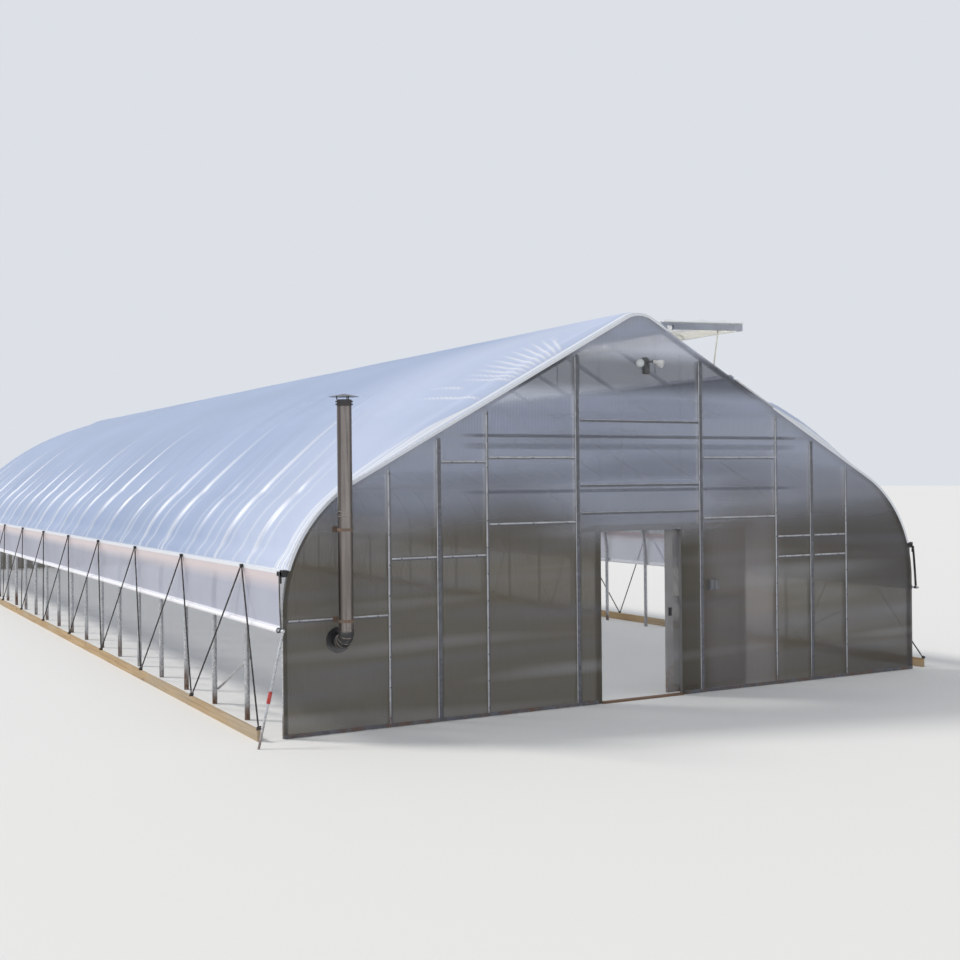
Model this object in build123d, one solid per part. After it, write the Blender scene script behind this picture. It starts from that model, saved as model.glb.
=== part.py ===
from build123d import *
from math import acos, cos, degrees, radians, sin, sqrt, tan
import os

# Polytunnel greenhouse: tube hoops under inflated film, a roof vent along the whole ridge,
# roll-up side curtains and two glazed end walls, the front one with a sliding door.
# Millimetres. X runs right along the front end wall, Y back along the length, Z up.
# The origin is on the ground in the middle of the front doorway.

# Hoops
BAY = 1219.2
BAY_COUNT = 24
LENGTH = BAY * BAY_COUNT
TUBE_RADIUS = 30.0
HALF_WIDTH = 4545.0
POST_HEIGHT = 1270.0
EAVE_RADIUS = 1550.0
RIDGE_RADIUS = 360.0
PITCH = radians(28.6)
SEAT = 0.3

# Inner frame tubes
PURLIN_RADIUS = 21.0
TIE_RADIUS = 21.0
TIE_HEIGHT = POST_HEIGHT + 0.832 * EAVE_RADIUS
TIE_STEP_COUNT = 2
STRUT_RADIUS = 15.0
STRUT_OFFSET = 0.33 * HALF_WIDTH

# Covering
PILLOW = 70.0
LEFT_BULGE = 280.0
FLAT_FILM = 10.0
LOCK_DEPTH = 20.0
LOCK_BACK = 15.0
RAIL_BOTTOM = POST_HEIGHT + 0.271 * EAVE_RADIUS
RAIL_TOP = RAIL_BOTTOM + 55.0
RAIL_OUT = HALF_WIDTH + TUBE_RADIUS + 5.0
SILL_OFFSET = 0.308 * HALF_WIDTH
SILL_WIDTH = 60.0
SILL_HEIGHT = 80.0
FLAT_STRIP_END = 0.4577 * HALF_WIDTH

# Roof vent, propped open
HINGE_OFFSET = 0.0946 * HALF_WIDTH
HINGE_WIDTH = 50.0
HINGE_RISE = 116.0
FLAP_WIDTH = SILL_OFFSET - HINGE_OFFSET + 270.0
FLAP_TILT = 1.8
FLAP_RAIL = 90.0
FLAP_FILM = 50.0
FLAP_BAR = 40.0
FLAP_END_START = 150.0
PROP_RADIUS = 10.0
PROP_OFFSET = 0.828 * SILL_OFFSET

# Side curtains, ropes and boards
CURTAIN = 3.0
CURTAIN_TOP = RAIL_BOTTOM + 22.0
ROLL_RADIUS = 32.0
ROLL_HEIGHT = POST_HEIGHT - 140.0
CORE_RADIUS = 14.0
CORE_OVERHANG = 120.0
ROLL_OVERLAP = 0.63 * ROLL_RADIUS
ROLL_X = HALF_WIDTH + TUBE_RADIUS + ROLL_RADIUS + 1.3
ROPE_RADIUS = 8.0
ROPE_INSET = 2.0
HOOK_RADIUS = 8.0
HOOK_OUT = RAIL_OUT + 34.0
HOOK_HEIGHT = CURTAIN_TOP + HOOK_RADIUS + 10.0
BOARD_CENTRE = HALF_WIDTH + 285.0
BOARD_THICK = 38.0
BOARD_HEIGHT = 120.0
BOARD_COUNT = 6
BOARD_JOINT = 2.0
PEG_HEIGHT = 34.0
BRACE_RADIUS = 15.0
BRACE_HIGH = 0.55 * POST_HEIGHT
BRACE_DROP = 520.0
CRANK_LEAN_OUT = 350.0
CRANK_LEAN_FRONT = 225.0
CRANK_RADIUS = 13.0
GRIP_RADIUS = 20.0
GRIP_START = 0.52
GRIP_END = 0.62
CRANK_JOINT = CORE_RADIUS + 8.0
CRANK_JOINT_AHEAD = 15.0

# End walls
GLAZING = 8.0
GLAZING_GAP = 0.5
STUD = 50.0
STUD_DEPTH = 50.0
GIRT = 40.0
WIDE_STUD = 80.0
STUD_SHARES = (0.2012, 0.4694, 0.6036, 0.7377)
WIDE_SHARES = (0.2012, 0.6036)
CENTRE_GIRT_RISES = (220.0, 548.0, 1317.0)
INNER_GIRT_RISES = (893.0, 1647.0)
LEFT_GIRT_RISE = 547.0
HIGH_GIRT_RISE = 1600.0
RIGHT_GIRT_RISES = (370.0, 630.0)
BACK_GIRT_SHARES = (0.87, 1.70)
BACK_HIGH_GIRT = 2.64

# Doorway and sliding leaf
DOOR_HALF = 600.0
DOOR_HEIGHT = 2040.0
JAMB = 50.0
THRESHOLD = 20.0
THRESHOLD_FRONT = -60.0
LEAF_WIDTH = 2 * DOOR_HALF + 50.0
LEAF_LEFT = DOOR_HALF - 180.0
LEAF_THICK = 40.0
LEAF_BOTTOM = THRESHOLD + 10.0
LEAF_TOP = DOOR_HEIGHT - 10.0
LEAF_STILE = 95.0
LEAF_RAIL = 80.0
LEAF_MID = 0.57 * DOOR_HEIGHT
LOCK_HEIGHT = 1025.0
LOCK_PLATE = (44.0, 6.0, 100.0)
LOCK_KNOB = 9.0
LOCK_KNOB_DEEP = 12.0
TRACK_BOTTOM = LEAF_TOP + 20.0
TRACK_HEIGHT = 60.0
TRACK_DEPTH = 70.0
TRACK_WALL = 4.0
TRACK_SLOT = 16.0
TRACK_LEFT = -DOOR_HALF - 80.0
TRACK_RIGHT = LEAF_LEFT + LEAF_WIDTH + 130.0
HANGER_INSET = 150.0
HANGER_WIDE = 60.0
HANGER_THICK = 6.0
WHEEL_RADIUS = 18.0
WHEEL_WIDE = 12.0
WHEEL_OFF = 9.0

# Flue
FLUE_X = -0.8713 * HALF_WIDTH
FLUE_Y = -260.0
FLUE_RADIUS = 78.0
FLUE_WALL = 3.0
FLUE_LOW = 991.0
ELBOW_RADIUS = 120.0
FLUE_LENGTH = 2529.0
FLUE_TOP = FLUE_LOW + FLUE_LENGTH
FLUE_SEAM = FLUE_LOW + 0.5255 * FLUE_LENGTH
FLUE_STAYS = (FLUE_LOW + 0.0874 * FLUE_LENGTH, FLUE_LOW + 0.4634 * FLUE_LENGTH)
FLUE_SEAM_HALF = 10.0
FLUE_SEAM_OUT = 4.0
FLUE_BAND_DROPS = (50.0, 20.0)
FLUE_BAND_HALF = 8.0
FLUE_BAND_OUT = 14.0
THIMBLE_OUT = 60.0
THIMBLE_THICK = 12.0
STAY_HALF = 15.0
STAY_BAND_OUT = 5.0
STAY_PLATE_HALF = (60.0, 30.0)
STAY_PLATE_THICK = 6.0
CAP_RADIUS = 160.0
CAP_TIP = 12.0
CAP_SHEET = 4.0
CAP_RISE = 30.0
CAP_HEIGHT = 30.0
CAP_LEG_HALF = 6.0
CAP_LEG_ANGLES = (30, 150, 270)

# Fittings on the front wall
LAMP_X = 60.0
LAMP_DROP = 540.0
LAMP_BODY = 55.0
LAMP_BODY_DEEP = 45.0
LAMP_ARM = 12.0
LAMP_HEAD = 48.0
LAMP_HEAD_BACK = (85.0, 70.0, 5.0)
LAMP_HEAD_FRONT = (125.0, 170.0, -45.0)
SWITCH_X = DOOR_HALF + 400.0
SWITCH_WIDTH = 140.0
SWITCH_HEIGHT = 130.0
SWITCH_LOW = 1270.0
SWITCH_DEEP = 45.0
SWITCH_FLAP_DEEP = 52.0
SWITCH_EDGE = 10.0
SWITCH_FLAP_INSET = 15.0


def mirror_x(shapes):
    return [shape.mirror(Plane.YZ) for shape in shapes]


def eave_point(angle, radius):
    """Point of the right eave bend; the angle is measured from the vertical."""
    centre_x = HALF_WIDTH - EAVE_RADIUS
    return (centre_x + radius * sin(angle), POST_HEIGHT + radius * cos(angle))


BEND_X, BEND_Z = eave_point(PITCH, EAVE_RADIUS)
PEAK_Z = BEND_Z + BEND_X * tan(PITCH)
RIDGE_X = RIDGE_RADIUS * sin(PITCH)
RIDGE_CENTRE_Z = PEAK_Z - RIDGE_RADIUS / cos(PITCH)


def slope_z(x, offset=0.0):
    """Height of the right slope at x, moved out from the tube line by offset."""
    return PEAK_Z - x * tan(PITCH) + offset / cos(PITCH)


def slope_point(x, offset=0.0):
    """Point of the right slope that stands square off the tube line at x."""
    return (x + offset * sin(PITCH), PEAK_Z - x * tan(PITCH) + offset * cos(PITCH))


def prism(corners, y_from, y_to):
    """Extrude a convex outline of (x, z) corners along Y."""
    wire = Wire.make_polygon([Vector(x, y_from, z) for x, z in corners], close=True)
    return extrude(Face(wire), amount=y_to - y_from, dir=(0, 1, 0))


def box(x_from, x_to, y_from, y_to, z_from, z_to):
    size = (x_to - x_from, y_to - y_from, z_to - z_from)
    centre = ((x_from + x_to) / 2, (y_from + y_to) / 2, (z_from + z_to) / 2)
    return Location(centre) * Box(*size)


def rod(start, end, radius):
    """Round bar from one point to another."""
    start = Vector(*start)
    axis = Vector(*end) - start
    return Solid.make_cylinder(radius, axis.length, Plane(origin=start, z_dir=axis))


def arc_band(centre, inner, outer, angle_from, angle_to, y_from, y_to):
    """Slab bent round an axis along Y; angles are measured from the vertical towards +X."""
    def at(radius, angle):
        return Vector(centre[0] + radius * sin(angle), y_from, centre[1] + radius * cos(angle))
    middle = (angle_from + angle_to) / 2
    edges = [
        Edge.make_three_point_arc(at(inner, angle_from), at(inner, middle), at(inner, angle_to)),
        Edge.make_line(at(inner, angle_to), at(outer, angle_to)),
        Edge.make_three_point_arc(at(outer, angle_to), at(outer, middle), at(outer, angle_from)),
        Edge.make_line(at(outer, angle_from), at(inner, angle_from)),
    ]
    return extrude(Face(Wire(edges)), amount=y_to - y_from, dir=(0, 1, 0))


def slope_band(x_from, x_to, inner, outer, y_from, y_to):
    """Flat slab on the right slope between two places of the tube line."""
    corners = [slope_point(x_from, inner), slope_point(x_to, inner),
               slope_point(x_to, outer), slope_point(x_from, outer)]
    return prism(corners, y_from, y_to)


EAVE_CENTRE = (HALF_WIDTH - EAVE_RADIUS, POST_HEIGHT)
RIDGE_CENTRE = (0.0, RIDGE_CENTRE_Z)
HOOP_PLACES = [i * BAY for i in range(BAY_COUNT + 1)]
RAIL_ANGLE = acos((RAIL_TOP - POST_HEIGHT) / (EAVE_RADIUS + TUBE_RADIUS))
SIDE_PURLIN_OFFSET = (RIDGE_X + BEND_X) * 0.61
STUD_OFFSETS = [HALF_WIDTH * share for share in STUD_SHARES]
WIDE_OFFSETS = [HALF_WIDTH * share for share in WIDE_SHARES]
HINGE_TOP = slope_z(HINGE_OFFSET) + HINGE_RISE
VENT_FILM_EDGE = HINGE_OFFSET - HINGE_WIDTH / 2 - 1.0


def bent_tube(centre, radius, angle_from, angle_to, y):
    """Round tube bent in the plane of a hoop."""
    middle_x = centre[0] + radius * sin(angle_from)
    middle_z = centre[1] + radius * cos(angle_from)
    along = (cos(angle_from), 0, -sin(angle_from))
    section = Plane(origin=(middle_x, y, middle_z), z_dir=along) * Circle(TUBE_RADIUS)
    axis = Axis((centre[0], y, centre[1]), (0, 1, 0))
    return revolve(section, axis, revolution_arc=degrees(angle_to - angle_from))


def hoops():
    """Posts, lower and upper eave bends, rafters and ridge bends, each a length of tube."""
    posts = []
    low_bends = []
    high_bends = []
    rafters = []
    ridges = []
    splice = (PITCH + radians(90)) / 2
    for y in HOOP_PLACES:
        post = rod((HALF_WIDTH, y, 0), (HALF_WIDTH, y, POST_HEIGHT), TUBE_RADIUS)
        low_bend = bent_tube(EAVE_CENTRE, EAVE_RADIUS, splice, radians(90), y)
        high_bend = bent_tube(EAVE_CENTRE, EAVE_RADIUS, PITCH, splice, y)
        rafter = rod((RIDGE_X, y, slope_z(RIDGE_X)), (BEND_X, y, BEND_Z), TUBE_RADIUS)
        posts += [post] + mirror_x([post])
        low_bends += [low_bend] + mirror_x([low_bend])
        high_bends += [high_bend] + mirror_x([high_bend])
        rafters += [rafter] + mirror_x([rafter])
        ridges.append(bent_tube(RIDGE_CENTRE, RIDGE_RADIUS, -PITCH, PITCH, y))
    return posts, low_bends, high_bends, rafters, ridges


def purlins():
    """Long tubes under the hoops, at the ridge and half way down each slope."""
    under = TUBE_RADIUS + PURLIN_RADIUS + SEAT
    ridge_z = RIDGE_CENTRE_Z + RIDGE_RADIUS - under
    side_x, side_z = slope_point(SIDE_PURLIN_OFFSET, -under)
    start = -TUBE_RADIUS + STUD_DEPTH + SEAT
    end = LENGTH - start
    ridge = rod((0, start, ridge_z), (0, end, ridge_z), PURLIN_RADIUS)
    side = rod((side_x, start, side_z), (side_x, end, side_z), PURLIN_RADIUS)
    return [ridge, side] + mirror_x([side])


def cross_ties():
    """Ties clamped on the side of every other hoop, with two upright struts on each."""
    ties = []
    struts = []
    reach = EAVE_CENTRE[0] + sqrt(EAVE_RADIUS ** 2 - (TIE_HEIGHT - POST_HEIGHT) ** 2)
    beside = TUBE_RADIUS + TIE_RADIUS + SEAT
    strut_low = TIE_HEIGHT + TIE_RADIUS + SEAT
    strut_high = slope_z(STRUT_OFFSET) + TUBE_RADIUS / 2
    strut_beside = TUBE_RADIUS + STRUT_RADIUS + SEAT
    for y in HOOP_PLACES[TIE_STEP_COUNT:-1:TIE_STEP_COUNT]:
        ties.append(rod((-reach, y + beside, TIE_HEIGHT), (reach, y + beside, TIE_HEIGHT), TIE_RADIUS))
        foot = (STRUT_OFFSET, y + strut_beside, strut_low)
        head = (STRUT_OFFSET, y + strut_beside, strut_high)
        strut = rod(foot, head, STRUT_RADIUS)
        struts += [strut] + mirror_x([strut])
    return ties, struts


def hip_rails():
    """Rail outside the hoops at hip height; the roof film and the curtain lock into it."""
    outside = EAVE_CENTRE[0] + sqrt((EAVE_RADIUS + TUBE_RADIUS) ** 2 - (RAIL_BOTTOM - POST_HEIGHT) ** 2)
    rail = box(outside + SEAT, RAIL_OUT, -TUBE_RADIUS, LENGTH + TUBE_RADIUS, RAIL_BOTTOM, RAIL_TOP)
    return [rail] + mirror_x([rail])


FILM_IN = TUBE_RADIUS + SEAT
FILM_Y = (LOCK_BACK, LENGTH - LOCK_BACK)


def ridge_film():
    outer = FILM_IN + PILLOW
    bend = arc_band(RIDGE_CENTRE, RIDGE_RADIUS + FILM_IN, RIDGE_RADIUS + outer, -PITCH, PITCH, *FILM_Y)
    corners = [slope_point(RIDGE_X, FILM_IN), (VENT_FILM_EDGE, slope_z(VENT_FILM_EDGE, FILM_IN)),
               (VENT_FILM_EDGE, slope_z(VENT_FILM_EDGE, outer)), slope_point(RIDGE_X, outer)]
    return bend + prism(corners, *FILM_Y)


def left_slope_film():
    """Film blown up over the left slope, run down to the locks within a bay of each end."""
    outer = FILM_IN + PILLOW
    crown = outer + LEFT_BULGE
    y_from, y_to = FILM_Y

    def at(x, offset):
        place = slope_point(x, offset)
        return Vector(place[0], y_from, place[1])
    edges = [
        Edge.make_line(at(RIDGE_X, FILM_IN), at(BEND_X, FILM_IN)),
        Edge.make_line(at(BEND_X, FILM_IN), at(BEND_X, outer)),
        Edge.make_three_point_arc(at(BEND_X, outer), at((RIDGE_X + BEND_X) / 2, crown), at(RIDGE_X, outer)),
        Edge.make_line(at(RIDGE_X, outer), at(RIDGE_X, FILM_IN)),
    ]
    slab = extrude(Face(Wire(edges)), amount=y_to - y_from, dir=(0, 1, 0))
    reach = (BEND_X - RIDGE_X) / cos(PITCH)
    down_slope = (cos(PITCH), 0, -sin(PITCH))
    above = crown + PILLOW
    low, high = y_from + BAY, y_to - BAY
    overrun = BAY * (above - crown) / (crown - outer)
    corners = [(y_from, 0), (y_to, 0), (y_to, outer), (high - overrun, above), (low + overrun, above),
               (y_from, outer)]
    base = at(RIDGE_X, 0) - Vector(*down_slope) * reach
    points = [base + Vector(0, y - y_from, 0) + Vector(sin(PITCH), 0, cos(PITCH)) * offset
              for y, offset in corners]
    tapered = extrude(Face(Wire.make_polygon(points, close=True)), amount=3 * reach, dir=down_slope)
    return (slab & tapered).mirror(Plane.YZ)


def eave_film():
    """Film round the eave, in an upper and a lower stretch."""
    inner = EAVE_RADIUS + FILM_IN
    middle = (PITCH + RAIL_ANGLE) / 2
    upper = arc_band(EAVE_CENTRE, inner, inner + PILLOW, PITCH, middle, *FILM_Y)
    lower = arc_band(EAVE_CENTRE, inner, inner + PILLOW, middle, RAIL_ANGLE, *FILM_Y)
    return upper, lower


def film_lock(y_from, y_to):
    """Locking channel on an end hoop: over the ridge to the left rail, and below the vent."""
    outer = FILM_IN + LOCK_DEPTH
    ridge = arc_band(RIDGE_CENTRE, RIDGE_RADIUS + FILM_IN, RIDGE_RADIUS + outer, -PITCH, PITCH,
                     y_from, y_to)
    eave = arc_band(EAVE_CENTRE, EAVE_RADIUS + FILM_IN, EAVE_RADIUS + outer, PITCH, RAIL_ANGLE,
                    y_from, y_to)
    high = slope_band(RIDGE_X, VENT_FILM_EDGE - outer * sin(PITCH), FILM_IN, outer, y_from, y_to)
    long = slope_band(RIDGE_X, BEND_X, FILM_IN, outer, y_from, y_to)
    low = slope_band(SILL_OFFSET + SILL_WIDTH, BEND_X, FILM_IN, outer, y_from, y_to)
    left = ridge + high + mirror_x([long])[0] + mirror_x([eave])[0]
    right = low + eave
    return [left, right]


def vent_hinge_rail():
    """Raised rail on the rafters that carries the flap."""
    half = HINGE_WIDTH / 2
    low = slope_z(HINGE_OFFSET - half, FILM_IN)
    corners = [(HINGE_OFFSET - half, low), (HINGE_OFFSET + half, slope_z(HINGE_OFFSET + half, FILM_IN)),
               (HINGE_OFFSET + half, HINGE_TOP), (HINGE_OFFSET - half, HINGE_TOP)]
    return prism(corners, *FILM_Y)


def vent_sill():
    """Upstand that the flap shuts on."""
    return slope_band(SILL_OFFSET, SILL_OFFSET + SILL_WIDTH, FILM_IN, SILL_HEIGHT, *FILM_Y)


def flap_plane():
    origin = (HINGE_OFFSET - HINGE_WIDTH / 2, 0, HINGE_TOP + SEAT)
    return Plane(origin=origin, x_dir=(cos(radians(FLAP_TILT)), 0, sin(radians(FLAP_TILT))),
                 z_dir=(-sin(radians(FLAP_TILT)), 0, cos(radians(FLAP_TILT))))


def flap_box(x_from, x_to, y_from, y_to, z_from, z_to):
    return flap_plane() * box(x_from, x_to, y_from, y_to, z_from, z_to)


def vent_flap():
    """Frame of the flap: two long rails, a deep bar at each end and a bar over each hoop."""
    y_from, y_to = FILM_Y
    frame = flap_box(0, FLAP_BAR, y_from, y_to, 0, FLAP_BAR)
    frame += flap_box(FLAP_WIDTH - FLAP_BAR, FLAP_WIDTH, y_from, y_to, -FLAP_RAIL + FLAP_BAR, FLAP_BAR)
    for y in HOOP_PLACES[1:-1]:
        frame += flap_box(0, FLAP_WIDTH, y - FLAP_BAR / 2, y + FLAP_BAR / 2, 0, FLAP_BAR)
    for y in (y_from, y_to - FLAP_BAR):
        frame += flap_box(0, FLAP_WIDTH, y, y + FLAP_BAR, 0, FLAP_BAR)
        frame += flap_box(FLAP_END_START, FLAP_WIDTH, y, y + FLAP_BAR, -FLAP_RAIL + FLAP_BAR, FLAP_BAR)
    film = flap_box(-FLAP_BAR, FLAP_WIDTH + FLAP_BAR, y_from, y_to, FLAP_BAR + SEAT, FLAP_BAR + FLAP_FILM)
    return frame, film


def vent_props():
    """Struts from the rafters to the bars of the flap."""
    props = []
    top_z = HINGE_TOP + (PROP_OFFSET - HINGE_OFFSET + HINGE_WIDTH / 2) * tan(radians(FLAP_TILT))
    for y in HOOP_PLACES[1:-1:2]:
        low = slope_z(PROP_OFFSET + PROP_RADIUS, TUBE_RADIUS) + 2 * PROP_RADIUS * tan(PITCH) + SEAT
        props.append(rod((PROP_OFFSET, y, low), (PROP_OFFSET, y, top_z - SEAT), PROP_RADIUS))
    return props


def side_curtain():
    """Right curtain, hung on the rail and rolled on its pipe."""
    return box(RAIL_OUT + SEAT, RAIL_OUT + SEAT + CURTAIN, 0, LENGTH, ROLL_HEIGHT + ROLL_OVERLAP, CURTAIN_TOP)


def curtain_roll():
    """Rolled film round its pipe, whose ends stand out."""
    roll = rod((ROLL_X, 0, ROLL_HEIGHT), (ROLL_X, LENGTH, ROLL_HEIGHT), ROLL_RADIUS)
    core = rod((ROLL_X, -CORE_OVERHANG, ROLL_HEIGHT), (ROLL_X, LENGTH + CORE_OVERHANG, ROLL_HEIGHT),
               CORE_RADIUS)
    return roll + core


def rope_runs():
    """Straight runs between the hooks on the rail and the pegs on the boards."""
    lean = BAY / sqrt(BAY ** 2 + (HOOK_HEIGHT - BOARD_HEIGHT) ** 2)
    end_half = ROPE_RADIUS * sqrt(1 - lean ** 2)
    from_peg = HOOK_RADIUS + SEAT + end_half
    from_hook = sqrt((HOOK_RADIUS + SEAT) ** 2 - (ROPE_RADIUS * lean) ** 2) + end_half
    high = HOOK_HEIGHT
    low = BOARD_HEIGHT + PEG_HEIGHT / 2
    hook_x = HOOK_OUT - ROPE_RADIUS - ROPE_INSET
    runs = []
    for i in range(BAY_COUNT):
        near, far = HOOP_PLACES[i], HOOP_PLACES[i + 1]
        if i % 2 == 0:
            run = rod((BOARD_CENTRE, near + from_peg, low), (hook_x, far - from_hook, high), ROPE_RADIUS)
        else:
            run = rod((hook_x, near + from_hook, high), (BOARD_CENTRE, far - from_peg, low), ROPE_RADIUS)
        runs.append(run)
    return runs + mirror_x(runs)


def rope_hooks():
    hooks = []
    for i, y in enumerate(HOOP_PLACES):
        if i % 2 == 0:
            hook = rod((BOARD_CENTRE, y, BOARD_HEIGHT), (BOARD_CENTRE, y, BOARD_HEIGHT + PEG_HEIGHT),
                       HOOK_RADIUS)
        else:
            hook = rod((RAIL_OUT, y, HOOK_HEIGHT), (HOOK_OUT, y, HOOK_HEIGHT), HOOK_RADIUS)
        hooks += [hook] + mirror_x([hook])
    return hooks


def ground_boards():
    boards = []
    board_length = LENGTH / BOARD_COUNT
    for i in range(BOARD_COUNT):
        board = box(BOARD_CENTRE - BOARD_THICK / 2, BOARD_CENTRE + BOARD_THICK / 2,
                    i * board_length + BOARD_JOINT / 2, (i + 1) * board_length - BOARD_JOINT / 2,
                    0, BOARD_HEIGHT)
        boards += [board] + mirror_x([board])
    return boards


def corner_braces():
    """Short slanting tube between the second and third posts, at each end of both sides."""
    x = HALF_WIDTH - TUBE_RADIUS - BRACE_RADIUS - SEAT
    braces = []
    for near, far in ((HOOP_PLACES[1], HOOP_PLACES[2]), (HOOP_PLACES[-2], HOOP_PLACES[-3])):
        brace = rod((x, near, BRACE_HIGH), (x, far, BRACE_HIGH - BRACE_DROP), BRACE_RADIUS)
        braces += [brace] + mirror_x([brace])
    return braces


def crank():
    """Hand pole that turns the left curtain's pipe, with a grip on it."""
    top = Vector(-ROLL_X, -CORE_OVERHANG - CRANK_JOINT_AHEAD, ROLL_HEIGHT)
    foot = Vector(-ROLL_X - CRANK_LEAN_OUT, top.Y - CRANK_LEAN_FRONT, 0)

    def along(share):
        return tuple(top + (foot - top) * share)
    length = (foot - top).length
    pole = rod(along(CORE_RADIUS / length), along(1.02), CRANK_RADIUS)
    pole -= box(foot.X - 100, foot.X + 100, foot.Y - 100, foot.Y + 100, -200, 0)
    joint = Location(tuple(top)) * Sphere(CRANK_JOINT)
    joint -= rod(tuple(top), (top.X, 0, top.Z), CORE_RADIUS + SEAT)
    grip = rod(along(GRIP_START), along(GRIP_END), GRIP_RADIUS)
    grip -= rod(along(GRIP_START - 0.1), along(GRIP_END + 0.1), CRANK_RADIUS + SEAT)
    return pole + joint, grip


def arch_plate(y_from, y_to):
    """Plate with the outline of a hoop, from the ground up."""
    outer = TUBE_RADIUS
    right = [
        Edge.make_line((0, y_from, 0), (HALF_WIDTH + outer, y_from, 0)),
        Edge.make_line((HALF_WIDTH + outer, y_from, 0), (HALF_WIDTH + outer, y_from, POST_HEIGHT)),
    ]

    def at(centre, radius, angle):
        return Vector(centre[0] + radius * sin(angle), y_from, centre[1] + radius * cos(angle))
    eave = EAVE_RADIUS + outer
    ridge = RIDGE_RADIUS + outer
    half_pitch = PITCH / 2
    right.append(Edge.make_three_point_arc(at(EAVE_CENTRE, eave, radians(90)),
                                           at(EAVE_CENTRE, eave, (radians(90) + PITCH) / 2),
                                           at(EAVE_CENTRE, eave, PITCH)))
    right.append(Edge.make_line(at(EAVE_CENTRE, eave, PITCH), at(RIDGE_CENTRE, ridge, PITCH)))
    right.append(Edge.make_three_point_arc(at(RIDGE_CENTRE, ridge, PITCH),
                                           at(RIDGE_CENTRE, ridge, half_pitch),
                                           at(RIDGE_CENTRE, ridge, 0)))
    right.append(Edge.make_line(at(RIDGE_CENTRE, ridge, 0), (0, y_from, 0)))
    half = extrude(Face(Wire(right)), amount=y_to - y_from, dir=(0, 1, 0))
    return half + half.mirror(Plane.YZ)


def stud_top(x):
    """Height where a stud meets the underside of the end hoop."""
    if x <= BEND_X:
        return slope_z(x, -TUBE_RADIUS) - SEAT
    inner = EAVE_RADIUS - TUBE_RADIUS
    return POST_HEIGHT + sqrt(inner ** 2 - (x - EAVE_CENTRE[0]) ** 2) - SEAT


def stud_width(x):
    return WIDE_STUD if x in WIDE_OFFSETS else STUD


def studs(y_from, y_to):
    pieces = []
    for x in STUD_OFFSETS:
        half = stud_width(x) / 2
        stud = box(x - half, x + half, y_from, y_to, 0, stud_top(x + half))
        pieces += [stud] + mirror_x([stud])
    return pieces


def girt(x_from, x_to, z, y_from, y_to):
    return box(x_from + SEAT, x_to - SEAT, y_from, y_to, z - GIRT / 2, z + GIRT / 2)


def bays():
    """Clear spaces between studs on the right half, from the middle out."""
    x3, x7, x9, x11 = STUD_OFFSETS
    centre = (-x3 + WIDE_STUD / 2, x3 - WIDE_STUD / 2)
    inner = (x3 + WIDE_STUD / 2, x7 - STUD / 2)
    mid = (x7 + STUD / 2, x9 - WIDE_STUD / 2)
    outer = (x9 + WIDE_STUD / 2, x11 - STUD / 2)
    corner = (x11 + STUD / 2, HALF_WIDTH - TUBE_RADIUS)
    return centre, inner, mid, outer, corner


def front_girts(y_from, y_to):
    centre, inner, mid, outer, corner = bays()
    pieces = []
    for rise in CENTRE_GIRT_RISES:
        pieces.append(girt(*centre, DOOR_HEIGHT + rise, y_from, y_to))
    for rise in INNER_GIRT_RISES:
        piece = girt(*inner, POST_HEIGHT + rise, y_from, y_to)
        pieces += [piece] + mirror_x([piece])
    for bay, rise in ((mid, LEFT_GIRT_RISE), (mid, HIGH_GIRT_RISE), (outer, LEFT_GIRT_RISE)):
        pieces += mirror_x([girt(*bay, POST_HEIGHT + rise, y_from, y_to)])
    for rise in RIGHT_GIRT_RISES:
        for bay in (mid, outer):
            pieces.append(girt(*bay, POST_HEIGHT + rise, y_from, y_to))
    pieces += mirror_x([girt(*corner, FLUE_STAYS[0], y_from, y_to)])
    for bay in (inner, mid, outer, corner):
        sill = box(bay[0] + SEAT, bay[1] - SEAT, y_from, y_to, 0, GIRT)
        pieces += [sill] + mirror_x([sill])
    return pieces


def back_girts(y_from, y_to):
    centre, inner, mid, outer, corner = bays()
    low, high = [POST_HEIGHT * share for share in BACK_GIRT_SHARES]
    pieces = [girt(*centre, z, y_from, y_to) for z in (GIRT / 2, low, high, POST_HEIGHT * BACK_HIGH_GIRT)]
    for bay in (inner, mid, outer, corner):
        for z in (GIRT / 2, low, high):
            if z > low and bay == corner:
                continue
            piece = girt(*bay, z, y_from, y_to)
            pieces += [piece] + mirror_x([piece])
    return pieces


FRAME_Y = (-TUBE_RADIUS, -TUBE_RADIUS + STUD_DEPTH)
GIRT_Y = (-TUBE_RADIUS, -TUBE_RADIUS + GIRT)
GLASS_Y = (-TUBE_RADIUS - GLAZING_GAP - GLAZING, -TUBE_RADIUS - GLAZING_GAP)


def front_glazing():
    plate = arch_plate(*GLASS_Y)
    deep = (GLASS_Y[0] - 10, GLASS_Y[1] + 10)
    far = HALF_WIDTH + 100
    left = plate & box(-far, -DOOR_HALF - SEAT, *deep, GLAZING, PEAK_Z)
    right = plate & box(DOOR_HALF + SEAT, far, *deep, GLAZING, PEAK_Z)
    over = plate & box(-DOOR_HALF, DOOR_HALF, *deep, DOOR_HEIGHT, PEAK_Z + 100)
    return left, right, over


def door_frame():
    y_from, y_to = FRAME_Y
    frame = box(-DOOR_HALF - JAMB, -DOOR_HALF, y_from, y_to, 0, DOOR_HEIGHT + JAMB)
    frame += box(DOOR_HALF, DOOR_HALF + JAMB, y_from, y_to, 0, DOOR_HEIGHT + JAMB)
    stud = STUD_OFFSETS[0] - WIDE_STUD / 2 - SEAT
    frame += box(-stud, stud, y_from, y_to, DOOR_HEIGHT, DOOR_HEIGHT + JAMB)
    frame += box(-stud, -DOOR_HALF, y_from, y_to, 0, GIRT)
    frame += box(DOOR_HALF, stud, y_from, y_to, 0, GIRT)
    return frame


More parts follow.
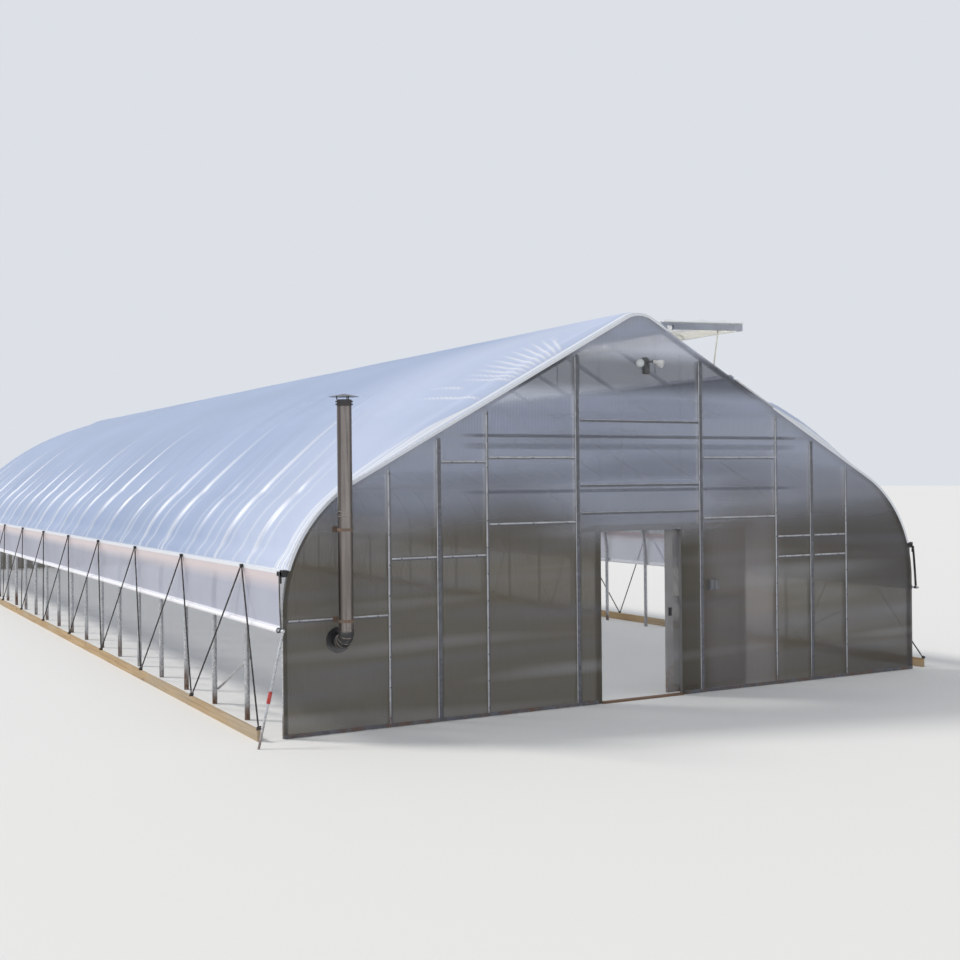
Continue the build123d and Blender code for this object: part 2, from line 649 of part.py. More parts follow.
def door_track():
    """Channel inside the wall, slotted below for the hangers."""
    y_from = FRAME_Y[1] + SEAT
    y_to = y_from + TRACK_DEPTH
    z_to = TRACK_BOTTOM + TRACK_HEIGHT
    track = box(TRACK_LEFT, TRACK_RIGHT, y_from, y_to, TRACK_BOTTOM, z_to)
    track -= box(TRACK_LEFT - 1, TRACK_RIGHT + 1, y_from + TRACK_WALL, y_to - TRACK_WALL,
                 TRACK_BOTTOM + TRACK_WALL, z_to - TRACK_WALL)
    middle = (y_from + y_to) / 2
    track -= box(TRACK_LEFT - 1, TRACK_RIGHT + 1, middle - TRACK_SLOT / 2, middle + TRACK_SLOT / 2,
                 TRACK_BOTTOM - 1, TRACK_BOTTOM + TRACK_WALL + 1)
    for x in (TRACK_LEFT, TRACK_RIGHT - TRACK_WALL):
        track += box(x, x + TRACK_WALL, y_from, y_to, TRACK_BOTTOM, z_to)
    return track


def door_leaf():
    """Framed leaf with two lights, hung on the track inside the wall."""
    x0, x1 = LEAF_LEFT, LEAF_LEFT + LEAF_WIDTH
    y_middle = FRAME_Y[1] + SEAT + TRACK_DEPTH / 2
    y0, y1 = y_middle - LEAF_THICK / 2, y_middle + LEAF_THICK / 2
    frame = box(x0, x1, y0, y1, LEAF_BOTTOM, LEAF_TOP)
    low = (LEAF_BOTTOM + LEAF_RAIL, LEAF_MID - LEAF_RAIL / 2)
    high = (LEAF_MID + LEAF_RAIL / 2, LEAF_TOP - LEAF_RAIL)
    panes = []
    for z_from, z_to in (low, high):
        frame -= box(x0 + LEAF_STILE, x1 - LEAF_STILE, y0 - 1, y1 + 1, z_from, z_to)
        panes.append(box(x0 + LEAF_STILE + SEAT, x1 - LEAF_STILE - SEAT, y_middle - GLAZING / 2,
                         y_middle + GLAZING / 2, z_from + SEAT, z_to - SEAT))
    lock_x = x0 + LEAF_STILE / 2
    wide, deep, tall = LOCK_PLATE
    lock = box(lock_x - wide / 2, lock_x + wide / 2, y0 - deep, y0,
               LOCK_HEIGHT - tall / 2, LOCK_HEIGHT + tall / 2)
    lock += rod((lock_x, y0 - deep / 2, LOCK_HEIGHT), (lock_x, y0 - LOCK_KNOB_DEEP, LOCK_HEIGHT), LOCK_KNOB)
    hangers = []
    for x in (x0 + HANGER_INSET, x1 - HANGER_INSET):
        wheel_z = TRACK_BOTTOM + TRACK_WALL + SEAT + WHEEL_RADIUS
        hanger = box(x - HANGER_WIDE / 2, x + HANGER_WIDE / 2, y_middle - HANGER_THICK / 2,
                     y_middle + HANGER_THICK / 2, LEAF_TOP, wheel_z + WHEEL_RADIUS / 2)
        for side in (-1, 1):
            near = y_middle + side * WHEEL_OFF
            far = near + side * WHEEL_WIDE
            hanger += rod((x, y_middle, wheel_z), (x, far, wheel_z), WHEEL_RADIUS / 3)
            hanger += rod((x, near, wheel_z), (x, far, wheel_z), WHEEL_RADIUS)
        hangers.append(hanger)
    return frame, panes, lock, hangers


def flue():
    """Flue with a stub through the wall, a bend, an upright pipe, two stays and a rain cap."""
    face_y = GLASS_Y[0]
    wall = FLUE_WALL
    bend_z = FLUE_LOW + ELBOW_RADIUS

    def upright(z_from, z_to, radius):
        return rod((FLUE_X, FLUE_Y, z_from), (FLUE_X, FLUE_Y, z_to), radius)
    pipe = upright(bend_z, FLUE_TOP, FLUE_RADIUS)
    pipe += upright(FLUE_SEAM - FLUE_SEAM_HALF, FLUE_SEAM + FLUE_SEAM_HALF, FLUE_RADIUS + FLUE_SEAM_OUT)
    for drop in FLUE_BAND_DROPS:
        z = FLUE_TOP - drop
        pipe += upright(z - FLUE_BAND_HALF, z + FLUE_BAND_HALF, FLUE_RADIUS + FLUE_BAND_OUT)
    pipe -= upright(bend_z - 1, FLUE_TOP + 1, FLUE_RADIUS - wall)
    turn = Axis((FLUE_X, FLUE_Y + ELBOW_RADIUS, bend_z), (1, 0, 0))
    ring = Circle(FLUE_RADIUS + wall) - Circle(FLUE_RADIUS - wall)
    elbow = revolve(Plane(origin=(FLUE_X, FLUE_Y, bend_z), z_dir=(0, 0, -1)) * ring, turn, revolution_arc=90)
    stub_start = FLUE_Y + ELBOW_RADIUS
    plate_y = face_y - THIMBLE_THICK
    stub = rod((FLUE_X, stub_start, FLUE_LOW), (FLUE_X, plate_y, FLUE_LOW), FLUE_RADIUS + wall)
    stub -= rod((FLUE_X, stub_start - 1, FLUE_LOW), (FLUE_X, face_y, FLUE_LOW), FLUE_RADIUS - wall)
    thimble = rod((FLUE_X, plate_y, FLUE_LOW), (FLUE_X, face_y, FLUE_LOW), FLUE_RADIUS + THIMBLE_OUT)
    stays = []
    plate_wide, plate_tall = STAY_PLATE_HALF
    for z in FLUE_STAYS:
        stay = upright(z - STAY_HALF, z + STAY_HALF, FLUE_RADIUS + STAY_BAND_OUT)
        stay += box(FLUE_X - STAY_HALF, FLUE_X + STAY_HALF, FLUE_Y + FLUE_RADIUS, face_y,
                    z - STAY_HALF, z + STAY_HALF)
        stay += box(FLUE_X - plate_wide, FLUE_X + plate_wide, face_y - STAY_PLATE_THICK, face_y,
                    z - plate_tall, z + plate_tall)
        stay -= upright(z - plate_tall, z + plate_tall, FLUE_RADIUS)
        stays.append(stay)
    cap_z = FLUE_TOP + CAP_RISE + CAP_HEIGHT / 2
    cap = Location((FLUE_X, FLUE_Y, cap_z)) * Cone(CAP_RADIUS, CAP_TIP, CAP_HEIGHT)
    cap -= Location((FLUE_X, FLUE_Y, cap_z - CAP_SHEET)) * Cone(CAP_RADIUS, CAP_TIP, CAP_HEIGHT)
    leg_top = FLUE_TOP + CAP_RISE + CAP_HEIGHT * (CAP_RADIUS - FLUE_RADIUS) / (CAP_RADIUS - CAP_TIP)
    for angle in CAP_LEG_ANGLES:
        x = FLUE_X + (FLUE_RADIUS - wall / 2) * cos(radians(angle))
        y = FLUE_Y + (FLUE_RADIUS - wall / 2) * sin(radians(angle))
        cap += box(x - CAP_LEG_HALF, x + CAP_LEG_HALF, y - wall / 3, y + wall / 3, FLUE_TOP, leg_top)
    return pipe, elbow, stub + thimble, stays, cap


def floodlight():
    """Twin lamp on a box under the peak."""
    x, z = LAMP_X, RIDGE_CENTRE_Z + RIDGE_RADIUS - LAMP_DROP
    face_y = GLASS_Y[0]
    lamp = rod((x, face_y, z), (x, face_y - LAMP_BODY_DEEP, z), LAMP_BODY)
    for side in (-1, 1):
        back_x, back_y, back_z = LAMP_HEAD_BACK
        front_x, front_y, front_z = LAMP_HEAD_FRONT
        head_start = (x + side * back_x, face_y - back_y, z + back_z)
        head_end = (x + side * front_x, face_y - front_y, z + front_z)
        arm_end = (x + side * (back_x + LAMP_ARM), face_y - back_y - 2 * LAMP_ARM, z)
        lamp += rod((x, face_y - LAMP_BODY_DEEP / 2, z), arm_end, LAMP_ARM)
        lamp += rod(head_start, head_end, LAMP_HEAD)
    return lamp


def switch_box():
    """Double box beside the doorway with two flaps."""
    face_y = GLASS_Y[0]
    top = SWITCH_LOW + SWITCH_HEIGHT
    body = box(SWITCH_X, SWITCH_X + SWITCH_WIDTH, face_y - SWITCH_DEEP, face_y, SWITCH_LOW, top)
    flap = SWITCH_WIDTH / 2 - 1.5 * SWITCH_EDGE
    for x in (SWITCH_X + SWITCH_EDGE, SWITCH_X + SWITCH_WIDTH - SWITCH_EDGE - flap):
        body += box(x, x + flap, face_y - SWITCH_FLAP_DEEP, face_y - SWITCH_DEEP + 1,
                    SWITCH_LOW + SWITCH_FLAP_INSET, top - SWITCH_FLAP_INSET)
    return body


def save(name, shapes):
    if not isinstance(shapes, (list, tuple)):
        shapes = [shapes]
    solids = []
    for shape in shapes:
        solids += list(shape.solids())
    export_step(solids[0] if len(solids) == 1 else Compound(children=solids), f"parts/{name}.step")


def back(shapes):
    """Turn pieces of the front wall round to the back end."""
    turned = []
    for shape in shapes:
        turned.append(shape.mirror(Plane.XZ.offset(-LENGTH / 2)))
    return turned


os.makedirs("parts", exist_ok=True)

posts, low_bends, high_bends, rafters, ridges = hoops()
save("hoop_posts", posts)
save("eave_bends_lower", low_bends)
save("eave_bends_upper", high_bends)
save("rafters", rafters)
save("ridge_bends", ridges)
save("purlins", purlins())
ties, struts = cross_ties()
save("cross_ties", ties)
save("tie_struts", struts)
save("hip_rails", hip_rails())

film_eave_upper, film_eave_lower = eave_film()
save("film_ridge", ridge_film())
save("film_left_slope", left_slope_film())
save("film_left_eave_upper", mirror_x([film_eave_upper]))
save("film_left_eave_lower", mirror_x([film_eave_lower]))
save("film_right_upper", slope_band(SILL_OFFSET + SILL_WIDTH, FLAT_STRIP_END, FILM_IN, FILM_IN + FLAT_FILM,
                                    *FILM_Y))
save("film_right_slope", slope_band(FLAT_STRIP_END, BEND_X, FILM_IN, FILM_IN + PILLOW, *FILM_Y))
save("film_right_eave_upper", film_eave_upper)
save("film_right_eave_lower", film_eave_lower)
lock_front = film_lock(GLASS_Y[0], LOCK_BACK)
save("film_lock_front", lock_front)
save("film_lock_back", back(lock_front))

save("vent_hinge_rail", vent_hinge_rail())
save("vent_sill", vent_sill())
flap_frame, flap_film = vent_flap()
save("vent_flap_frame", flap_frame)
save("vent_film", flap_film)
save("vent_props", vent_props())

curtain = side_curtain()
roll = curtain_roll()
save("side_curtain_right", curtain)
save("side_curtain_left", mirror_x([curtain]))
save("curtain_roll_right", roll)
save("curtain_roll_left", mirror_x([roll]))
save("anti_billow_ropes", rope_runs())
save("rope_hooks", rope_hooks())
save("ground_boards", ground_boards())
save("corner_braces", corner_braces())
crank_pole, crank_grip = crank()
save("crank_pole", crank_pole)
save("crank_grip", crank_grip)

save("front_studs", studs(*FRAME_Y))
save("front_girts", front_girts(*GIRT_Y))
save("door_threshold", box(-DOOR_HALF + SEAT, DOOR_HALF - SEAT, THRESHOLD_FRONT, FRAME_Y[1], 0, THRESHOLD))
save("door_frame", door_frame())
save("door_track", door_track())
glass_left, glass_right, glass_over = front_glazing()
save("front_glazing_left", glass_left)
save("front_glazing_right", glass_right)
save("front_glazing_over_door", glass_over)
save("back_studs", back(studs(*FRAME_Y)))
save("back_girts", back(back_girts(*GIRT_Y)))
back_plate = arch_plate(*GLASS_Y) & box(-RAIL_OUT, RAIL_OUT, -100, 100, GLAZING, PEAK_Z)
save("back_glazing", back([back_plate]))

leaf_frame, leaf_panes, leaf_lock, leaf_hangers = door_leaf()
save("door_leaf_frame", leaf_frame)
save("door_leaf_glazing", leaf_panes)
save("door_lock", leaf_lock)
save("door_hangers", leaf_hangers)

flue_pipe, flue_elbow, flue_thimble, flue_stays, flue_cap = flue()
save("flue_pipe", flue_pipe)
save("flue_elbow", flue_elbow)
save("flue_thimble", flue_thimble)
save("flue_brackets", flue_stays)
save("flue_rain_cap", flue_cap)
save("floodlight", floodlight())
save("switch_box", switch_box())
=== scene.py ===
from math import acos, cos, pi, radians, sin, tan

import bmesh
import bpy
import numpy as np
from mathutils import Matrix, Vector


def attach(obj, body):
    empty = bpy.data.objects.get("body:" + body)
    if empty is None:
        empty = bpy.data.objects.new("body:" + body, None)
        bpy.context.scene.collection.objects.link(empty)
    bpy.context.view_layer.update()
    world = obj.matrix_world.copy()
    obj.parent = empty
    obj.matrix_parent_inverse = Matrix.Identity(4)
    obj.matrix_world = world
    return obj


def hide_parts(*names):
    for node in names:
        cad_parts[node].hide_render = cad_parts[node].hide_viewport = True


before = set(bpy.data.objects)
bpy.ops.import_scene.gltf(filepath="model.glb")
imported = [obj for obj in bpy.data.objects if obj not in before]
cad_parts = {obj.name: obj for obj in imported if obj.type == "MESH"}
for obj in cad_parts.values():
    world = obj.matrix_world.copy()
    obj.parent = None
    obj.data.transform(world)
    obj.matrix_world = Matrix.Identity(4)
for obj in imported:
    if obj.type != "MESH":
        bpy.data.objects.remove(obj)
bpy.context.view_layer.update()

# Camera, floor and light
# The camera stands left of the front wall, 2.7 m over the ground. The floor is plain and pale.
# One soft sun shines from behind over the left side, and the sky fills in from all round.
CAMERA_PLACE = Vector((-9.126, -12.549, 2.668))
CAMERA_YAW = radians(-28.871)
CAMERA_ROLL = radians(-0.545)
CAMERA_LENS = 47.65
SUN_TOWARDS = Vector((-0.50, 0.50, 0.70))
SUN_POWER = 2.0
SUN_WIDTH = radians(13)
FLOOR_COLOUR = (0.80, 0.79, 0.77, 1)
FLOOR_REACH = 260.0
SQUARE = ((-1, -1), (1, -1), (1, 1), (-1, 1))
SKY_SEEN = (0.72, 0.75, 0.80, 1)
SKY_LIGHT = (0.90, 0.94, 1.0, 1)
SKY_POWER = 0.62


def new_object(name, data):
    made = bpy.data.objects.new(name, data)
    bpy.context.scene.collection.objects.link(made)
    return made


def make_camera():
    data = bpy.data.cameras.new("camera")
    data.lens = CAMERA_LENS
    data.sensor_width = 36.0
    data.clip_end = 500.0
    camera = new_object("camera", data)
    turn = Matrix.Rotation(CAMERA_YAW, 4, "Z") @ Matrix.Rotation(radians(90), 4, "X")
    camera.matrix_world = Matrix.Translation(CAMERA_PLACE) @ turn @ Matrix.Rotation(CAMERA_ROLL, 4, "Z")
    bpy.context.scene.camera = camera


def fill(node, sockets):
    """Each named input of a node takes a value, or is joined to a socket."""
    for key, value in sockets.items():
        if isinstance(value, bpy.types.NodeSocket):
            node.id_data.links.new(value, node.inputs[key])
        else:
            node.inputs[key].default_value = value


def shader_node(tree, kind, sockets=None, **settings):
    """One shader node with its plain settings and its inputs filled."""
    made = tree.nodes.new("ShaderNode" + kind)
    for key, value in settings.items():
        setattr(made, key, value)
    fill(made, sockets or {})
    return made


def counted(tree, kind, first, second=0.0, **settings):
    """One sum of two values or sockets."""
    return shader_node(tree, "Math", {0: first, 1: second}, operation=kind, **settings).outputs[0]


def new_finish(name, **sockets):
    """Material with a Principled shader; gives the material, its tree and the shader."""
    material = bpy.data.materials.new(name)
    material.use_nodes = True
    shader = material.node_tree.nodes["Principled BSDF"]
    fill(shader, {key.replace("_", " "): value for key, value in sockets.items()})
    return material, material.node_tree, shader


def make_sky():
    """Pale where the camera, metal or glass sees it, and a plain soft light for all else."""
    world = bpy.data.worlds.new("sky")
    bpy.context.scene.world = world
    world.use_nodes = True
    tree = world.node_tree
    tree.nodes.clear()
    seen = shader_node(tree, "Background", {"Color": SKY_SEEN})
    light = shader_node(tree, "Background", {"Color": SKY_LIGHT, "Strength": SKY_POWER})
    ray = shader_node(tree, "LightPath").outputs
    mirrored_or_bent = counted(tree, "MAXIMUM", ray["Is Glossy Ray"], ray["Is Transmission Ray"])
    either = counted(tree, "MAXIMUM", ray["Is Camera Ray"], mirrored_or_bent)
    mixed = shader_node(tree, "MixShader", {0: either, 1: light.outputs[0], 2: seen.outputs[0]})
    shader_node(tree, "OutputWorld", {"Surface": mixed.outputs[0]})


def make_sun():
    lamp = bpy.data.lights.new("sun", "SUN")
    lamp.energy = SUN_POWER
    lamp.angle = SUN_WIDTH
    lamp.color = (1.0, 0.97, 0.92)
    new_object("sun", lamp).matrix_world = SUN_TOWARDS.to_track_quat("Z", "Y").to_matrix().to_4x4()


def make_floor():
    mesh = bpy.data.meshes.new("floor")
    mesh.from_pydata([(x * FLOOR_REACH, y * FLOOR_REACH, 0) for x, y in SQUARE], [], [(0, 1, 2, 3)])
    mesh.materials.append(new_finish("floor", Base_Color=FLOOR_COLOUR, Roughness=0.9)[0])
    new_object("floor", mesh)


make_camera()
make_sky()
make_sun()
make_floor()
bpy.context.scene.view_settings.view_transform = "Standard"


# Hoops, purlins and ties
# Round galvanised tube, bent cold, each length pushed into the next. The zinc has gone dull and
# patchy, with a little rust low down.
BAY = 1.2192
BAY_COUNT = 24
LENGTH = BAY * BAY_COUNT
TUBE = 0.030
HALF_WIDTH = 4.545
POST = 1.270
EAVE_BEND = 1.550
RIDGE_BEND = 0.360
PITCH = radians(28.6)
EAVE_MIDDLE = HALF_WIDTH - EAVE_BEND
BEND_OUT = EAVE_MIDDLE + EAVE_BEND * sin(PITCH)
RIDGE_RUN = RIDGE_BEND * PITCH
RAFTER_RUN = (BEND_OUT - RIDGE_BEND * sin(PITCH)) / cos(PITCH)
PEAK = POST + EAVE_BEND * cos(PITCH) + BEND_OUT * tan(PITCH)
RIDGE_MIDDLE = PEAK - RIDGE_BEND / cos(PITCH)
HOOP_PLACES = np.arange(BAY_COUNT + 1) * BAY


def roof_line(run):
    """Middle of the hoop's tube at a run from the ridge, right of it where positive: the ridge's
    bend, the straight rafter at the pitch, then the eave's bend. Gives x, z and the lean."""
    side, run = np.sign(run), np.abs(run)
    top = np.clip(run / RIDGE_BEND, 0, PITCH)
    down = np.clip(run - RIDGE_RUN, 0, RAFTER_RUN)
    low = np.clip((run - RIDGE_RUN - RAFTER_RUN) / EAVE_BEND, 0, None)
    x = RIDGE_BEND * np.sin(top) + down * cos(PITCH) + EAVE_BEND * (np.sin(PITCH + low) - sin(PITCH))
    z = (RIDGE_MIDDLE + RIDGE_BEND * np.cos(top) - down * sin(PITCH)
         + EAVE_BEND * (np.cos(PITCH + low) - cos(PITCH)))
    return side * x, z, side * (top + low)


def grid_shape(grid, around=False, flip=False):
    """Points and four-cornered faces of a grid of points; around joins the last column to the
    first, and flip turns the faces over."""
    rows, columns = grid.shape[:2]
    index = np.arange(rows * columns).reshape(rows, columns)
    if around:
        index = np.concatenate([index, index[:, :1]], axis=1)
    corners = [index[:-1, :-1], index[1:, :-1], index[1:, 1:], index[:-1, 1:]]
    faces = np.stack(corners, axis=-1).reshape(-1, 4)
    return grid.reshape(-1, 3), faces[:, ::-1] if flip else faces


def round_outline(radius, sides):
    angle = np.arange(sides) * 2 * pi / sides
    return radius * np.stack([np.cos(angle), np.sin(angle)], axis=-1)


def turned(profile, sides):
    """Profile of (radius, height) rows turned round the upright axis."""
    profile = np.asarray(profile, float)
    points = np.zeros((len(profile), sides, 3))
    points[:, :, :2] = profile[:, :1, None] * round_outline(1, sides)[None]
    points[:, :, 2] = profile[:, 1:2]
    return grid_shape(points, around=True, flip=True)


def swept(path, outline, upright=(0, 0, 1)):
    """Closed outline of (across, up) offsets carried square along a path of points."""
    path, outline = np.asarray(path, float), np.asarray(outline, float)
    ahead = np.gradient(path, axis=0)
    ahead /= np.linalg.norm(ahead, axis=1, keepdims=True)
    across = np.cross(ahead, np.asarray(upright, float))
    across /= np.linalg.norm(across, axis=1, keepdims=True)
    up = np.cross(across, ahead)
    if outline.ndim == 2:
        outline = np.broadcast_to(outline, (len(path),) + outline.shape)
    points = path[:, None] + outline[..., :1] * across[:, None] + outline[..., 1:] * up[:, None]
    return grid_shape(points, around=True)


def tapered(path, radius, sides):
    """Round bar along a path, shut at both ends by rings drawn in to a point."""
    path = np.asarray(path, float)
    ends = path[0] - (path[1] - path[0]) * 1e-3, path[-1] - (path[-2] - path[-1]) * 1e-3
    path = np.concatenate([ends[:1], path, ends[1:]])
    size = np.full(len(path), radius)
    size[[0, -1]] = 0
    return swept(path, size[:, None, None] * round_outline(1, sides)[None])


def aimed(shape, place, towards):
    """Shape moved to a place, with its upright axis turned to point along towards."""
    turn = np.array(Vector(towards).to_track_quat("Z", "Y").to_matrix())
    return shape[0] @ turn.T + np.asarray(place, float), shape[1]


def repeated(shape, places):
    """The same shape set at each of many places, as one set of points and faces."""
    points, faces = shape
    places = np.asarray(places, float)
    moved = (points[None] + places[:, None]).reshape(-1, 3)
    steps = np.arange(len(places))[:, None, None] * len(points)
    return moved, (faces[None] + steps).reshape(-1, faces.shape[1])


def mirrored(shape, middle=0.0, axis=0):
    """Shape turned over to the other side of a plane, with its faces still outwards."""
    points = shape[0].copy()
    points[:, axis] = 2 * middle - points[:, axis]
    return points, shape[1][:, ::-1]


def on_both_sides(shapes):
    return shapes + [mirrored(shape) for shape in shapes]


def at_back(shapes):
    """The front's shapes turned over to the back end."""
    return [mirrored(shape, LENGTH / 2, axis=1) for shape in shapes]


def at_both_ends(shapes):
    return shapes + at_back(shapes)


def made_piece(name, shapes, material, weld=True, smooth=True):
    """One object from several shapes: points and faces joined, doubled points welded."""
    points = np.concatenate([shape[0] for shape in shapes])
    starts = np.cumsum([0] + [len(shape[0]) for shape in shapes[:-1]])
    faces = np.concatenate([shape[1] + start for shape, start in zip(shapes, starts)])
    mesh = bpy.data.meshes.new(name)
    mesh.from_pydata(points.tolist(), [], faces.tolist())
    if weld:
        work = bmesh.new()
        work.from_mesh(mesh)
        bmesh.ops.remove_doubles(work, verts=work.verts, dist=1e-5)
        bmesh.ops.dissolve_degenerate(work, edges=work.edges, dist=1e-6)
        work.to_mesh(mesh)
        work.free()
    mesh.polygons.foreach_set("use_smooth", np.full(len(mesh.polygons), smooth))
    mesh.materials.append(material)
    made = new_object(name, mesh)
    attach(made, "house")
    return made


def new_group(name, inputs, outputs):
    """Empty shader node group; its sockets are given as names with their kinds."""
    group = bpy.data.node_groups.new(name, "ShaderNodeTree")
    for way, sockets in (("INPUT", inputs), ("OUTPUT", outputs)):
        for label, kind in sockets.items():
            group.interface.new_socket(label, in_out=way, socket_type="NodeSocket" + kind)
    return group, group.nodes.new("NodeGroupInput").outputs, group.nodes.new("NodeGroupOutput")


def ranged(tree, value, low, high, out_low=0.0, out_high=1.0, smooth=False):
    """Value stretched from one range to another, and held inside it; smooth eases its ends."""
    sockets = {"Value": value, "From Min": low, "From Max": high, "To Min": out_low, "To Max": out_high}
    kind = "SMOOTHSTEP" if smooth else "LINEAR"
    return shader_node(tree, "MapRange", sockets, interpolation_type=kind).outputs[0]


def coloured(tree, share, first, second):
    """Two colours mixed by a share."""
    return shader_node(tree, "Mix", {0: share, 6: first, 7: second}, data_type="RGBA").outputs[2]


def place_on(tree, stretch=(1, 1, 1), turn=(0, 0, 0)):
    """Object coordinates, stretched and turned for a pattern."""
    place = shader_node(tree, "TexCoord").outputs["Object"]
    return shader_node(tree, "Mapping", {"Vector": place, "Scale": stretch, "Rotation": turn}).outputs[0]


def place_parts(tree):
    """The three object coordinates, each by itself."""
    return shader_node(tree, "SeparateXYZ", {0: shader_node(tree, "TexCoord").outputs["Object"]}).outputs


def noise(tree, scale, detail=2.0, rough=0.5, stretch=(1, 1, 1), turn=(0, 0, 0), bent=0.0):
    """Cloudy noise over the object coordinates."""
    sockets = {"Vector": place_on(tree, stretch, turn), "Scale": scale, "Detail": detail,
               "Roughness": rough, "Distortion": bent}
    return shader_node(tree, "TexNoise", sockets).outputs["Fac"]


def zinc_group():
    """Spangle of the zinc as flat cells, over dull cloudy patches."""
    group, given, out = new_group("zinc bloom", {"Bright": "Color", "Dull": "Color", "Spangle": "Float"},
                                  {"Colour": "Color", "Roughness": "Float", "Height": "Float"})
    cells = shader_node(group, "TexVoronoi", {"Vector": place_on(group), "Scale": given["Spangle"]})
    shade = shader_node(group, "RGBToBW", {0: cells.outputs["Color"]}).outputs[0]
    cloud = noise(group, 2.3, 5.0, 0.62)
    share = ranged(group, counted(group, "MULTIPLY", shade, cloud), 0.12, 0.42)
    fill(out, {"Colour": coloured(group, share, given["Dull"], given["Bright"]),
               "Roughness": ranged(group, cloud, 0.3, 0.7, 0.34, 0.56), "Height": cloud})
    return group


def rust_group():
    """Mask of rust or dirt: broken noise, thicker below a height that fades over a depth."""
    group, given, out = new_group("rust and dirt", dict.fromkeys(("Amount", "Scale", "Top", "Fade"), "Float"),
                                  {"Mask": "Float"})
    above = counted(group, "SUBTRACT", place_parts(group)["Z"], given["Top"])
    low = ranged(group, counted(group, "DIVIDE", above, given["Fade"]), 0.0, 1.0, 0.34, 0.0)
    total = counted(group, "ADD", noise(group, given["Scale"], 8.0, 0.7, (1, 1, 0.45)), low)
    fill(out, {"Mask": ranged(group, counted(group, "ADD", total, given["Amount"]), 0.82, 1.08)})
    return group


ZINC = zinc_group()
RUST = rust_group()


def put_group(tree, group, **values):
    made = tree.nodes.new("ShaderNodeGroup")
    made.node_tree = group
    fill(made, values)
    return made.outputs


def bumped(shader, height, distance, strength=1.0):
    sockets = {"Height": height, "Distance": distance, "Strength": strength}
    fill(shader, {"Normal": shader_node(shader.id_data, "Bump", sockets).outputs[0]})


def zinc_finish(name, bright, dull, spangle=60.0, rust=0.12, metallic=0.75):
    """Galvanised steel: zinc bloom, with rust where the mask says."""
    material, tree, shader = new_finish(name, Metallic=metallic)
    zinc = put_group(tree, ZINC, Bright=bright, Dull=dull, Spangle=spangle)
    mask = put_group(tree, RUST, Amount=rust, Scale=6.0, Top=0.05, Fade=0.5)["Mask"]
    rough = counted(tree, "ADD", ranged(tree, mask, 0.0, 1.0, 0.0, 0.35), zinc["Roughness"])
    fill(shader, {"Base Color": coloured(tree, mask, zinc["Colour"], (0.20, 0.105, 0.055, 1)),
                  "Roughness": rough})
    bumped(shader, zinc["Height"], 0.0008)
    return material


def give(material, *names):
    """CAD nodes keep their shape and get a better finish."""
    for name in names:
        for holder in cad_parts[name].material_slots:
            holder.material = material


galvanised = zinc_finish("galvanised tube", (0.66, 0.67, 0.68, 1), (0.44, 0.45, 0.47, 1))
give(galvanised, "hoop_posts", "eave_bends_lower", "eave_bends_upper", "rafters", "ridge_bends", "purlins",
     "cross_ties", "tie_struts", "corner_braces", "vent_props")


# Roof film
# Two sheets of clear greenhouse film over the whole roof, blown apart by a fan. Each is one
# length, drawn over the hoops and locked to the end hoops, the hip rails and the vent.
RAIL_LOW = POST + 0.271 * EAVE_BEND
RAIL_HIGH = RAIL_LOW + 0.055
RAIL_OUT = HALF_WIDTH + TUBE + 0.005
RAIL_TURN = acos((RAIL_HIGH - POST) / (EAVE_BEND + TUBE))
EAVE_RUN = EAVE_BEND * (RAIL_TURN - PITCH)
LOW_RUN = RIDGE_RUN + RAFTER_RUN
ROOF_RUN = LOW_RUN + EAVE_RUN


def rafter_run(out):
    """Run from the ridge to a place on the rafter that lies out from the middle."""
    return RIDGE_RUN + (out - RIDGE_BEND * sin(PITCH)) / cos(PITCH)


HINGE_OUT = 0.0946 * HALF_WIDTH
VENT_RUN = rafter_run(HINGE_OUT - 0.026)
STRIP_RUN = rafter_run(0.4577 * HALF_WIDTH)
SILL_OUT = 0.308 * HALF_WIDTH
SILL_RUN = rafter_run(SILL_OUT + 0.060)
FILM_START = 0.015
FILM_LIFT = 0.0305
LEFT_BULGE = 0.275
RIGHT_BULGE = 0.20
LOCK_LIFT = 0.0505


def bay_places(per_bay, gather):
    """Places along the house: even in each bay, then gathered towards its hoops by a sine."""
    share = np.arange(BAY_COUNT * per_bay + 1) / per_bay
    share = share - gather * np.sin(2 * pi * share) / (2 * pi)
    return np.clip(share * BAY, FILM_START, LENGTH - FILM_START)


def with_ends(along):
    """Places along the house, and more where the film goes over the end locks and turns down."""
    near = np.concatenate([[-0.0415, -0.0412, -0.040, -0.034, -0.015, 0.002], np.linspace(0.02, 0.5, 18)])
    return np.unique(np.concatenate([along, near, LENGTH - near]))


def eased(value, low, high):
    """Smooth step from 0 at low to 1 at high."""
    share = np.clip((value - low) / (high - low), 0, 1)
    return share * share * (3 - 2 * share)


def folds(seed, run, along, waves, reach):
    """Soft unevenness: a few sine waves at different headings, added."""
    dice = np.random.default_rng(seed)
    total = np.zeros(np.broadcast(run, along).shape)
    for heading, length, phase in zip(dice.uniform(-1.4, 1.4, waves), dice.uniform(0.7, 1.5, waves),
                                      dice.uniform(0, 6.28, waves)):
        total += np.sin((run * cos(heading) + along * sin(heading)) * 2 * pi / (reach * length) + phase)
    return total / waves


def from_hoop(along):
    """Distance to the nearest hoop."""
    share = along / BAY
    return np.abs(share - np.round(share)) * BAY


def tent(along, depth, reach):
    """Film that falls away on both sides of each hoop by a depth: steep at first, then flat."""
    away = np.sqrt(from_hoop(along) ** 2 + 0.012 ** 2) - 0.012
    return -depth * (1 - np.exp(-away / reach))


def from_end(along):
    """Distance to the nearer end of the house."""
    return np.minimum(along, LENGTH - along)


